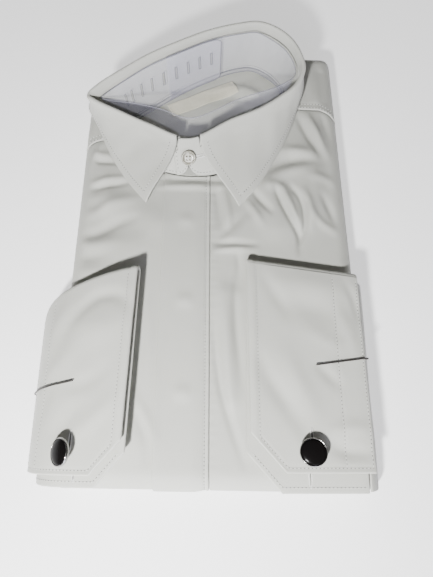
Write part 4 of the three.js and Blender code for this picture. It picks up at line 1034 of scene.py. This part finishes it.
def cuff_cloth(cuff):
    """Both faces of the cuff's wall, its flat places, and the distance of each point to an edge."""
    columns, half, top, low_y, turn, high_y = cuff_grid(cuff)
    c_low = np.broadcast_to(columns[:, None], low_y.shape)
    c_high = np.broadcast_to(columns[:, None], high_y.shape)
    c_turn = np.broadcast_to(columns[:, None], (len(columns), len(turn)))
    far = np.full(c_turn.shape, 50.0)
    y_ends = np.concatenate([low_y - low_y[:, :1], far, high_y - high_y[:, -1:]], 1)
    c_all = np.concatenate([c_low, c_turn, c_high], 1)
    slant = cuff_slant(cuff, c_all)
    to_edge = np.minimum(np.minimum(c_all, CUFF_WIDTH - c_all), y_ends * slant)
    thick = CUFF_THICKNESS / 2 * edge_round(to_edge, 1.0)
    lines = cuff_lines(c_all, y_ends * slant)
    fade = smooth((high_y - high_y[:, -1:]) * slant[:, -high_y.shape[1]:], 0, 12)
    slow = cuff_folds(cuff, c_high, high_y) * fade
    faces = []
    for side in (1, -1):
        off = side * thick + (side > 0) * lines
        n_low, n_turn = c_low.shape[1], c_turn.shape[1]
        lower = cuff_point(cuff, c_low, low_y, CUFF_LOWER - off[:, :n_low], 1.0)
        radius = half + off[:, n_low:n_low + n_turn]
        fold = cuff_point(cuff, c_turn, top[:, None] + radius * np.sin(turn),
                          CUFF_LOWER + half - radius * np.cos(turn))
        upper = cuff_point(cuff, c_high, high_y, CUFF_UPPER + off[:, n_low + n_turn:] + slow)
        faces.append(np.concatenate([lower, fold, upper], 1))
    walk = walked(faces[0], 1)
    return faces[0], faces[1], np.stack([c_all, walk], -1)


for word, cuff in (("left", LEFT_CUFF), ("right", RIGHT_CUFF)):
    outer, inner, flat = cuff_cloth(cuff)
    band = wall_object(f"cuff_{word}_cloth", outer, inner, flat, shirt_cotton)
    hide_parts(f"cuff_{word}")


# The sleeves. Only the strip beyond each cuff shows, going down beside the folded body to the
# table; a seam runs across it below the cuff.
def sleeve_cloth(cuff):
    """A strip from the cuff's sleeve edge down to the table along a cubic curve, with three soft
    bulges along its length."""
    reach, out_x, out_z, foot_x = cuff["sleeve"]
    ys = edged(cuff_top(cuff, CUFF_WIDTH) - 4, cuff["lower_end"] + 1, 90)
    t = edged(0, 1, 26, 0.03)
    y, t = np.meshgrid(ys, t, indexing="ij")
    start = cuff_point(cuff, CUFF_WIDTH + 0.9, y, CUFF_LOWER, 1.0)
    first = cuff_point(cuff, CUFF_WIDTH + reach, y, CUFF_LOWER, 1.0)
    walk = (y - ys[0]) / (ys[-1] - ys[0])
    bulge = 1.2 * np.maximum(0, np.sin(3 * np.pi * walk)) + 0.35 * np.sin(17 * walk + 4 * t)
    second = np.stack([out_x + cuff["side"] * bulge, y, np.full(y.shape, out_z)], -1)
    foot = np.stack([np.full(y.shape, foot_x), y, np.full(y.shape, 1.9)], -1)
    middle = cubic(start, first, second, foot, t[..., None])
    normal = grid_normals(middle) * cuff["side"]
    length = walked(middle, 1)
    to_edge = np.minimum(np.minimum(ys[0] - y, y - ys[-1]), np.minimum(length, length[:, -1:] - length))
    half = 0.75 * edge_round(to_edge, 0.7)
    seam = 0.3 * np.exp(-((y + 150) / 0.8) ** 2)
    outer = middle + normal * (half - seam)[..., None]
    return outer, middle - normal * half[..., None], np.stack([y, length], -1)


for word, cuff in (("left", LEFT_CUFF), ("right", RIGHT_CUFF)):
    outer, inner, flat = sleeve_cloth(cuff)
    sleeve = wall_object(f"sleeve_{word}_cloth", outer, inner, flat, shirt_cotton)
    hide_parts(f"sleeve_{word}")


# The cuff links. A round polished cup holds a black enamelled face, slightly domed; a short fixed
# post goes through the upper half's buttonhole to a small round back.
def turned(name, profile, steps, place, material, node):
    """A turned piece: a profile of radius and height, sampled closely, carried round its axis, and
    put where place says. Poles are closed with triangles."""
    profile = np.array(profile, float)
    fine = [profile[:1]]
    for a, b in zip(profile[:-1], profile[1:]):
        fine.append(a + (b - a) * np.linspace(0, 1, steps + 1)[1:, None])
    fine = np.concatenate(fine)
    turn = np.linspace(0, 2 * np.pi, 96, endpoint=False)
    rings = fine[1:-1]
    level = np.broadcast_to(rings[:, 1:], (len(rings), 96))
    local = np.stack([rings[:, :1] * np.cos(turn), rings[:, :1] * np.sin(turn), level], -1)
    points = np.concatenate([local.reshape(-1, 3), [[0, 0, fine[0, 1]], [0, 0, fine[-1, 1]]]])
    index = np.arange(len(rings) * 96).reshape(len(rings), 96)
    first = np.stack([np.full(96, len(points) - 2), np.roll(index[0], -1), index[0]], -1)
    last = np.stack([np.full(96, len(points) - 1), index[-1], np.roll(index[-1], -1)], -1)
    thing = mesh_object(name, place(points), grid_faces(index, around=True)[:, ::-1], points[:, :2],
                        material, np.concatenate([last, first]))
    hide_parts(node)
    return thing


def link_place(cuff, c, y, tilt):
    """Turns a link's own points by its tilt about Y and moves them onto the cuff."""
    centre = cuff_point(cuff, c, y, CUFF_UPPER)
    angle = np.radians(-tilt)

    def place(points):
        x = points[:, 0] * np.cos(angle) + points[:, 2] * np.sin(angle)
        z = points[:, 2] * np.cos(angle) - points[:, 0] * np.sin(angle)
        return centre + np.column_stack([x, points[:, 1], z])

    return place


def hazy_finish(name, scale, detail, rough, haze_rough, sockets, ripple=None):
    """A hard finish whose roughness follows fine noise of the place. With a ripple, in metres, its
    surface bends with the same noise."""
    material, wire = new_material(name)
    haze = noise(wire, wire.make("ShaderNodeTexCoord", None, None, "Object"), scale, detail)
    bent = {"Normal": relief(wire, haze * ripple)} if ripple else {}
    finish_material(wire, {"Roughness": rough + haze * haze_rough, **sockets, **bent})
    return material


black_enamel = hazy_finish("black_enamel", 700.0, 2.0, 0.14, 0.1, {
    "Base Color": (0.004, 0.0035, 0.0035, 1), "IOR": 1.25, "Specular IOR Level": 0.2}, 0.00003)
polished_rim = hazy_finish("polished_rim", 900.0, 3.0, 0.12, 0.16, {
    "Base Color": (0.3, 0.295, 0.285, 1), "Metallic": 1.0})

LINK_RADIUS = 9
# Each link's side, cuff, place on it, tilt in degrees, and how far its face stands off
LINKS = (("left", LEFT_CUFF, 40.5, -153.7, 6, 5.4), ("right", RIGHT_CUFF, 35, -153.5, 38, 7))
for word, cuff, c, y, tilt, stand_off in LINKS:
    place = link_place(cuff, c, y, tilt)
    edge = LINK_RADIUS - 1.1
    climb = np.linspace(0, np.pi / 2, 12)
    dome = [(edge * np.cos(t), stand_off + 1.3 + 1.4 * np.sin(t)) for t in climb]
    turned(f"link_face_{word}_enamel",
           [(0, stand_off), (edge, stand_off)] + dome[:-1] + [(0, stand_off + 2.7)],
           2, place, black_enamel, f"link_face_{word}")
    # The cup's profile: how far inside the link's radius, and how far above stand_off
    cup = ((LINK_RADIUS, -1.5), (1.6, -1.5), (0.5, -0.9), (0.05, 0), (0, 0.6), (0.2, 1.3),
           (0.5, 1.55), (0.85, 1.4), (0.9, -0.25), (LINK_RADIUS, -0.25))
    turned(f"link_rim_{word}_cup", [(LINK_RADIUS - a, stand_off + b) for a, b in cup],
           3, place, polished_rim, f"link_rim_{word}")
    post_top = stand_off - 1.8
    stem = [(0, -3.3), (1.3, -3.2), (1.5, -2.7), (1.3, -2.1), (1, -1.6), (1, post_top - 1.2),
            (2.2, post_top), (0, post_top)]
    turned(f"link_post_{word}_stem", stem, 2, place, polished_rim, f"link_post_{word}")


# The cuff clips. A thin dark steel wire bent double and pushed over the sleeve edge of each
# cuff's upper half.
def tube(name, path, radius, material, node, sides=12):
    """A round wire along a path: a circle carried on the path's own sideways and upward directions,
    its ends drawn in to a point."""
    path = np.asarray(path, float)
    ahead = np.gradient(path, axis=0)
    ahead /= np.linalg.norm(ahead, axis=1, keepdims=True)
    aside = np.cross(ahead, [0.0, 1.0, 0.08])
    aside /= np.linalg.norm(aside, axis=1, keepdims=True)
    above = np.cross(aside, ahead)
    turn = np.linspace(0, 2 * np.pi, sides, endpoint=False)
    walk = walked(path[:, None], 0)[:, 0]
    to_end = np.minimum(walk, walk[-1] - walk)
    full = radius * np.sqrt(np.clip(1 - (1 - np.minimum(to_end / radius, 1)) ** 2, 0.01, 1))
    ring = np.cos(turn)[:, None] * aside[:, None] + np.sin(turn)[:, None] * above[:, None]
    points = path[:, None] + ring * full[:, None, None]
    index = np.arange(len(path) * sides).reshape(len(path), sides)
    points = np.concatenate([points.reshape(-1, 3), path[:1], path[-1:]])
    first = np.stack([np.full(sides, len(points) - 2), np.roll(index[0], -1), index[0]], -1)
    last = np.stack([np.full(sides, len(points) - 1), index[-1], np.roll(index[-1], -1)], -1)
    flat = np.zeros((len(points), 2))
    flat[:-2, 0] = np.repeat(walk, sides)
    thing = mesh_object(name, points, grid_faces(index, around=True)[:, ::-1], flat, material,
                        np.concatenate([last, first]))
    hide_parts(node)
    return thing


dark_wire = hazy_finish("dark_wire", 1500.0, 2.0, 0.3, 0.25, {
    "Base Color": (0.09, 0.082, 0.078, 1), "Metallic": 0.9})

WIRE_RADIUS = 0.55
# Each clip's side, cuff, place along it, how far in it reaches, and its slope
CLIPS = (("left", LEFT_CUFF, -93, 46, 0.13), ("right", RIGHT_CUFF, -116, 38, -0.18))
over = CUFF_UPPER + 1.1 + SEAM + WIRE_RADIUS + 0.1
under = CUFF_UPPER - 1.1 - SEAM - WIRE_RADIUS - 0.1
bend = CUFF_WIDTH + 1.9
for word, cuff, clip_y, clip_from, slant in CLIPS:
    across = np.linspace(clip_from, CUFF_WIDTH - 1, 7)
    back = np.linspace(CUFF_WIDTH - 1, clip_from + 10, 5)
    lean = clip_y + slant * (across - CUFF_WIDTH)
    lifted = np.maximum(cuff_folds(cuff, across, lean), 0)
    legs = np.concatenate([
        cuff_point(cuff, across, lean, over + lifted),
        cuff_point(cuff, [bend], clip_y, CUFF_UPPER + 1),
        cuff_point(cuff, [bend], clip_y, CUFF_UPPER - 1),
        cuff_point(cuff, back, clip_y + slant * (back - CUFF_WIDTH), under),
    ])
    shares = np.concatenate([[0, 0.002], np.linspace(0.01, 0.99, 90), [0.998, 1.0]])
    path = curve_points(legs, shares, closed=False)
    tube(f"cuff_clip_{word}_wire", path, WIRE_RADIUS, dark_wire, f"cuff_clip_{word}")


# The collar button. A pearly plastic disc with a raised rim and four holes, sewn on with a cross of
# thread through a shank.
pearl, wire = new_material("pearl")
cloud = noise(wire, wire.make("ShaderNodeTexCoord", None, None, "Object"), 260.0, 3.0, 1.2)
tint = wire.make("ShaderNodeValToRGB", {"stops": [
    (0.3, (0.16, 0.15, 0.115, 1)), (0.5, (0.27, 0.26, 0.21, 1)), (0.72, (0.5, 0.49, 0.44, 1)),
]}, {"Fac": cloud})
finish_material(wire, {"Base Color": tint, "Roughness": 0.16 + cloud * 0.12, "Coat Weight": 0.4})

foot, up, out, height = collar_frame(np.array([0.0]))
side = np.cross(up[0], out[0])
button_out = out[0]
button_centre = foot[0] + up[0] * height[0] * 0.5 + out[0] * (0.8 + 1.5 + 1.1)


def button_place(points):
    """Turns the button's own points to lie on the stand at its centre front."""
    return button_centre + points[:, :1] * side + points[:, 1:2] * up[0] + points[:, 2:3] * out[0]


BUTTON_PROFILE = [
    (0, -1.9), (0.9, -1.9), (0.9, 0.3), (4.2, 0.25), (5.2, 0.6), (5.65, 1.1), (5.8, 1.6), (5.65, 2.1),
    (5.3, 2.4), (4.9, 2.5), (4.5, 2.4), (4.1, 2.1), (3.6, 1.95), (3.2, 1.9), (2.9, 1.9), (2.6, 1.9),
    (2.3, 1.9), (2.1, 1.9), (1.9, 1.9), (1.7, 1.9), (1.5, 1.9), (1.3, 1.9), (1.1, 1.9), (0.8, 1.9),
    (0, 1.9),
]


def sewn_button(points):
    """Sinks four holes into the button's face, each a steep bell at 1.3 mm by 1.3 mm off centre."""
    far = np.hypot(np.abs(points[:, 0]) - 1.3, np.abs(points[:, 1]) - 1.3)
    sunk = points.copy()
    sunk[:, 2] -= 1.3 * (1 - smooth(far, 0.35, 0.75)) * (points[:, 2] > 1.7)
    return button_place(sunk)


turned("collar_button_disc", BUTTON_PROFILE, 3, sewn_button, pearl, "collar_button")


# The stitching. White sewing thread in rows of short stitches, each sunk at both ends, beside the
# placket's seam, round the stand and the leaf, along the yoke seams, the label's ends and the cuffs.
# The worked buttonholes are ovals of the same thread round a slit.
def sewing_thread(name, colour):
    """Bright cotton thread whose twist shows as slanting ridges from a sine wave of its place."""
    material, wire = new_material(name)
    _, along, across = flat_place(wire)
    twist = wire.math("SINE", (along + across) * (2 * np.pi / 0.00035))
    finish_material(wire, {
        "Base Color": blend_colours(wire, twist * 0.5 + 0.5, [c * 0.85 for c in colour], colour),
        "Roughness": 0.5 + twist * 0.05,
        "Sheen Weight": 0.2,
        "Normal": relief(wire, twist * 0.00003),
    })
    return material


thread_white = sewing_thread("thread_white", (0.78, 0.78, 0.75))
STITCH_PITCH = 2.5
STITCH_LENGTH = 1.95
STITCH_RADIUS = 0.24
UP = (0, 0, 1)


def stitch_rows(name, rows, material=None, pitch=STITCH_PITCH, length=STITCH_LENGTH,
                radius=STITCH_RADIUS, shift=0.5):
    """Stitches along rows of points with normals: each is a spindle of six sides, thickest in its
    middle, lying on the cloth and pulled into it at both ends. One stands at every pitch, shift
    of a pitch along. Without a material they are white thread."""
    profile = np.array([-0.5, -0.36, 0, 0.36, 0.5])
    swell = np.array([0, 0.75, 1, 0.75, 0])
    sides = np.linspace(0, 2 * np.pi, 6, endpoint=False)
    meshes = []
    for points, normals in rows:
        walk = np.concatenate([[0], np.cumsum(np.linalg.norm(np.diff(points, axis=0), axis=1))])
        count = max(int(walk[-1] / pitch), 1)
        middle = (np.arange(count) + shift) * walk[-1] / count
        place, fore, up = (np.stack([np.interp(middle + d, walk, a[:, k]) for k in range(3)], -1)
                           for d, a in ((0, points), (0.6, points), (0, normals)))
        behind = np.stack([np.interp(middle - 0.6, walk, points[:, k]) for k in range(3)], -1)
        ahead = (fore - behind) / np.linalg.norm(fore - behind, axis=1, keepdims=True)
        up /= np.linalg.norm(up, axis=1, keepdims=True)
        aside = np.cross(ahead, up)
        lift = (0.12 * swell - 0.1 * (swell == 0))[None, :, None, None]
        ring = (aside[:, None, None] * np.cos(sides)[:, None]
                + up[:, None, None] * 0.75 * np.sin(sides)[:, None])
        body = (place[:, None, None] + ahead[:, None, None] * (profile * length)[None, :, None, None]
                + up[:, None, None] * lift + ring * (swell * radius)[None, :, None, None])
        middle_rings = body[:, 1:4].reshape(count, 18, 3)
        meshes.append(np.concatenate([middle_rings, body[:, 0, :1], body[:, 4, :1]], 1))
    points = np.concatenate(meshes).reshape(-1, 3)
    total = len(points) // 20
    index = np.arange(18).reshape(3, 6)
    quads = grid_faces(index, around=True)[:, ::-1]
    caps = np.concatenate([np.stack([np.full(6, 18), index[0], np.roll(index[0], -1)], -1),
                           np.stack([np.full(6, 19), np.roll(index[2], -1), index[2]], -1)])
    start = (np.arange(total) * 20)[:, None, None]
    along, round_it = np.meshgrid(np.arange(3) * 0.7, np.arange(6) * 0.25, indexing="ij")
    flat = np.concatenate([np.stack([along, round_it], -1).reshape(-1, 2), [[-0.7, 0], [2.1, 0]]])
    return mesh_object(name, points, (quads + start).reshape(-1, 4), np.tile(flat, (total, 1)),
                       material or thread_white, (caps[:, ::-1] + start).reshape(-1, 3))


def face_row(face, rows, columns):
    """A row of stitches' points and normals on a grid surface, at fractional places in the grid."""
    rows, columns = np.broadcast_arrays(np.asarray(rows, float), np.asarray(columns, float))
    normals = grid_normals(face)
    r0 = np.clip(rows.astype(int), 0, face.shape[0] - 2)
    c0 = np.clip(columns.astype(int), 0, face.shape[1] - 2)
    fr, fc = (rows - r0)[:, None], (columns - c0)[:, None]

    def blend(grid):
        near = grid[r0, c0] * (1 - fc) + grid[r0, c0 + 1] * fc
        far = grid[r0 + 1, c0] * (1 - fc) + grid[r0 + 1, c0 + 1] * fc
        return near * (1 - fr) + far * fr

    return blend(face), blend(normals)


def across_grid(values, level):
    """For each row of a rising grid of values, the fractional column where it reaches the level."""
    return np.array([np.interp(level, row, np.arange(len(row))) for row in values])


def outward_row(face, rows, columns, out):
    """face_row with its normals turned to the side that out lies on."""
    points, normals = face_row(face, rows, columns)
    return points, normals * np.sign((normals * np.asarray(out, float)).sum(-1).mean())


def stepped_row(face, c, y, side=1):
    """A row on a surface given as a function of two lengths, with normals from steps of 0.2 mm."""
    c, y = np.broadcast_arrays(np.asarray(c, float), np.asarray(y, float))
    points = face(c, y)
    normals = np.cross(face(c + 0.2, y) - points, face(c, y + 0.2) - points) * side
    return points, normals / np.linalg.norm(normals, axis=1, keepdims=True)


# Painted shade: a near-black cotton laid into needle holes and buttonhole slits, where there is only
# shadow.
painted_shade_cotton = cotton_satin("painted_shade_cotton", (0.1, 0.098, 0.088))


def sewn_rows(name, rows):
    """A piece's stitches, and between them dark spindles painted as the shade in the holes that the
    needle left.
    """
    stitch_rows(name, rows)
    stitch_rows(name + "_holes", rows, painted_shade_cotton, STITCH_PITCH, 0.8, 0.3, 1.0)


placket_rows = np.arange(6, placket_face.shape[1] - 3)
sewn_rows("stitches_placket", [outward_row(placket_face, placket_seam, placket_rows, UP)])
rows = []
for low_x, high_x in ((-FLAT_X - 8, neck_left[0] - 1), (neck_right[0] + 1, FLAT_X + 8)):
    chosen = np.flatnonzero((yoke_x > low_x) & (yoke_x < high_x))
    for level in YOKE_STITCHES:
        rows.append(outward_row(yoke_face, chosen, across_grid(yoke_past_seam[chosen], level), UP))
sewn_rows("stitches_yoke", rows)
near_ends = np.interp([1.3, LABEL_LENGTH - 1.3], label_along, np.arange(len(label_along)))
rows = [outward_row(label_face, place, np.arange(3, 22), UP) for place in near_ends]
stitch_rows("stitches_label", rows, pitch=1.7, length=1.3, radius=0.16)

chosen = np.arange(6, len(stand_stations) - 6)
out = collar_frame(stand_stations[chosen])[2]
rows = [outward_row(stand_face, chosen, across_grid(stand_from_foot[chosen], STAND_STITCH), out)]
for place in (-STAND_END + STAND_STITCH / STATION, STATIONS + STAND_END - STAND_STITCH / STATION):
    near = np.interp(place, stand_stations, np.arange(len(stand_stations)))
    rows.append(outward_row(stand_face, near, np.arange(8, 30), collar_frame(np.array([place]))[2]))
sewn_rows("stitches_stand", rows)

chosen = np.flatnonzero(leaf_to_front[:, -1] > LEAF_STITCH)
rows = [face_row(leaf_face, chosen, across_grid(-leaf_to_hem[chosen], -LEAF_STITCH))]
half = len(leaf_to_front) // 2
for end, inward in ((0, np.arange(half)), (-1, np.arange(len(leaf_to_front) - 1, half, -1))):
    fall = np.flatnonzero((leaf_down[end] > 13) & (leaf_to_hem[end] > LEAF_STITCH))
    near = np.array([np.interp(LEAF_STITCH, leaf_to_front[inward, k], inward) for k in fall])
    rows.append(face_row(leaf_face, near, fall))
sewn_rows("stitches_leaf", rows)


def thread_oval(name, face, c, y, half_length, side=1):
    """A worked buttonhole: a ring of thread along an oval on a surface, thick as half a bead and ribbed
    by a sine wave where the thread is wrapped, with a dark strip inside it that paints the shade of the
    slit."""
    turn = np.linspace(0, 2 * np.pi, 120, endpoint=False)
    points, normals = stepped_row(face, c + 0.95 * np.sin(turn), y + half_length * np.cos(turn), side)
    ahead = np.roll(points, -1, 0) - np.roll(points, 1, 0)
    ahead /= np.linalg.norm(ahead, axis=1, keepdims=True)
    aside = np.cross(ahead, normals)
    around = np.linspace(0, 2 * np.pi, 8, endpoint=False)
    radius = (0.42 * (1 + 0.16 * np.sin(30 * turn)))[:, None, None]
    ring = points[:, None] + radius * (aside[:, None] * np.cos(around)[:, None]
                                       + normals[:, None] * np.sin(around)[:, None])
    index = np.arange(960).reshape(120, 8)
    flat = np.stack(np.meshgrid(turn * half_length, around * 0.4, indexing="ij"), -1).reshape(-1, 2)
    faces = grid_faces(np.concatenate([index, index[:1]]), around=True)
    mesh_object(name, ring.reshape(-1, 3), faces, flat, thread_white)
    ends = stepped_row(face, np.array([c, c]), np.array([y - half_length, y + half_length]), side)
    # Painted shade: a dark strip lies along the slit where it would be in shadow.
    stitch_rows(name + "_slit", [ends], painted_shade_cotton, 99, 2 * half_length - 1.2, 0.42)


def lower_face(cuff):
    """The face of a cuff's lower half that shows beyond the upper one, as a function."""
    return lambda c, y: cuff_point(cuff, c, y, CUFF_LOWER + CUFF_THICKNESS / 2, 1.0)


# Each cuff's side, itself, and the middles of its upper and lower buttonholes
HOLES = (("left", LEFT_CUFF, (40.5, -147), (41.5, -169)), ("right", RIGHT_CUFF, (35, -148), (34, -165)))
for word, cuff, hole, low_hole in HOLES:
    side = cuff["side"]

    def face(c, y, cuff=cuff):
        return cuff_face(cuff, c, y)

    above_slant = END_STITCH / CHAMFER_SHARE
    above_end = cuff["end"] + END_STITCH
    high = np.linspace(cuff_top(cuff, CUFF_STITCH) - 3, cuff_end(cuff, CUFF_STITCH) + above_slant, 60)
    slanted = np.linspace(CUFF_STITCH, cuff["chamfer"], 20)[1:]
    level = np.linspace(cuff["chamfer"], CUFF_WIDTH - 4, 30)[1:]
    c = np.concatenate([np.full(60, CUFF_STITCH), slanted, level])
    y = np.concatenate([high, cuff_end(cuff, slanted) + above_slant, np.full(29, above_end)])
    rows = [stepped_row(face, c, y, side)]
    for c in (CUFF_SEAM, CUFF_WIDTH - 1.9):
        rows.append(stepped_row(face, c, np.linspace(cuff_top(cuff, c) - 5, above_end, 60), side))
    c = np.linspace(4, CUFF_WIDTH - 4, 50)
    low_end = cuff["lower_end"] + 4 + CHAMFER_SLOPE * np.maximum(cuff["chamfer"] - c, 0)
    rows.append(stepped_row(lower_face(cuff), c, low_end, side))
    sewn_rows(f"stitches_cuff_{word}", rows)
    thread_oval(f"buttonhole_{word}", face, *hole, 8, side)
    thread_oval(f"buttonhole_{word}_lower", lower_face(cuff), *low_hole, 7.5, side)


def band_face(c, y):
    """The stand's outer face by the button: c up from its middle, y along it to the viewer's right."""
    tall = collar_frame(y / STATION)[3][..., 0]
    return stand_point(y / STATION, 0.5 + c / tall, np.full(np.shape(y), STAND_THICKNESS / 2))


thread_oval("collar_buttonhole", band_face, 0.0, 8.5, 7.2, -1)
cross = np.array([[[-1.5, -1.5, 2.05], [1.5, 1.5, 2.05]], [[-1.5, 1.5, 2.25], [1.5, -1.5, 2.25]]])
rows = [(button_place(line), np.repeat(button_out[None], 2, 0)) for line in cross]
stitch_rows("button_thread", rows, pitch=99, length=3.4, radius=0.4)
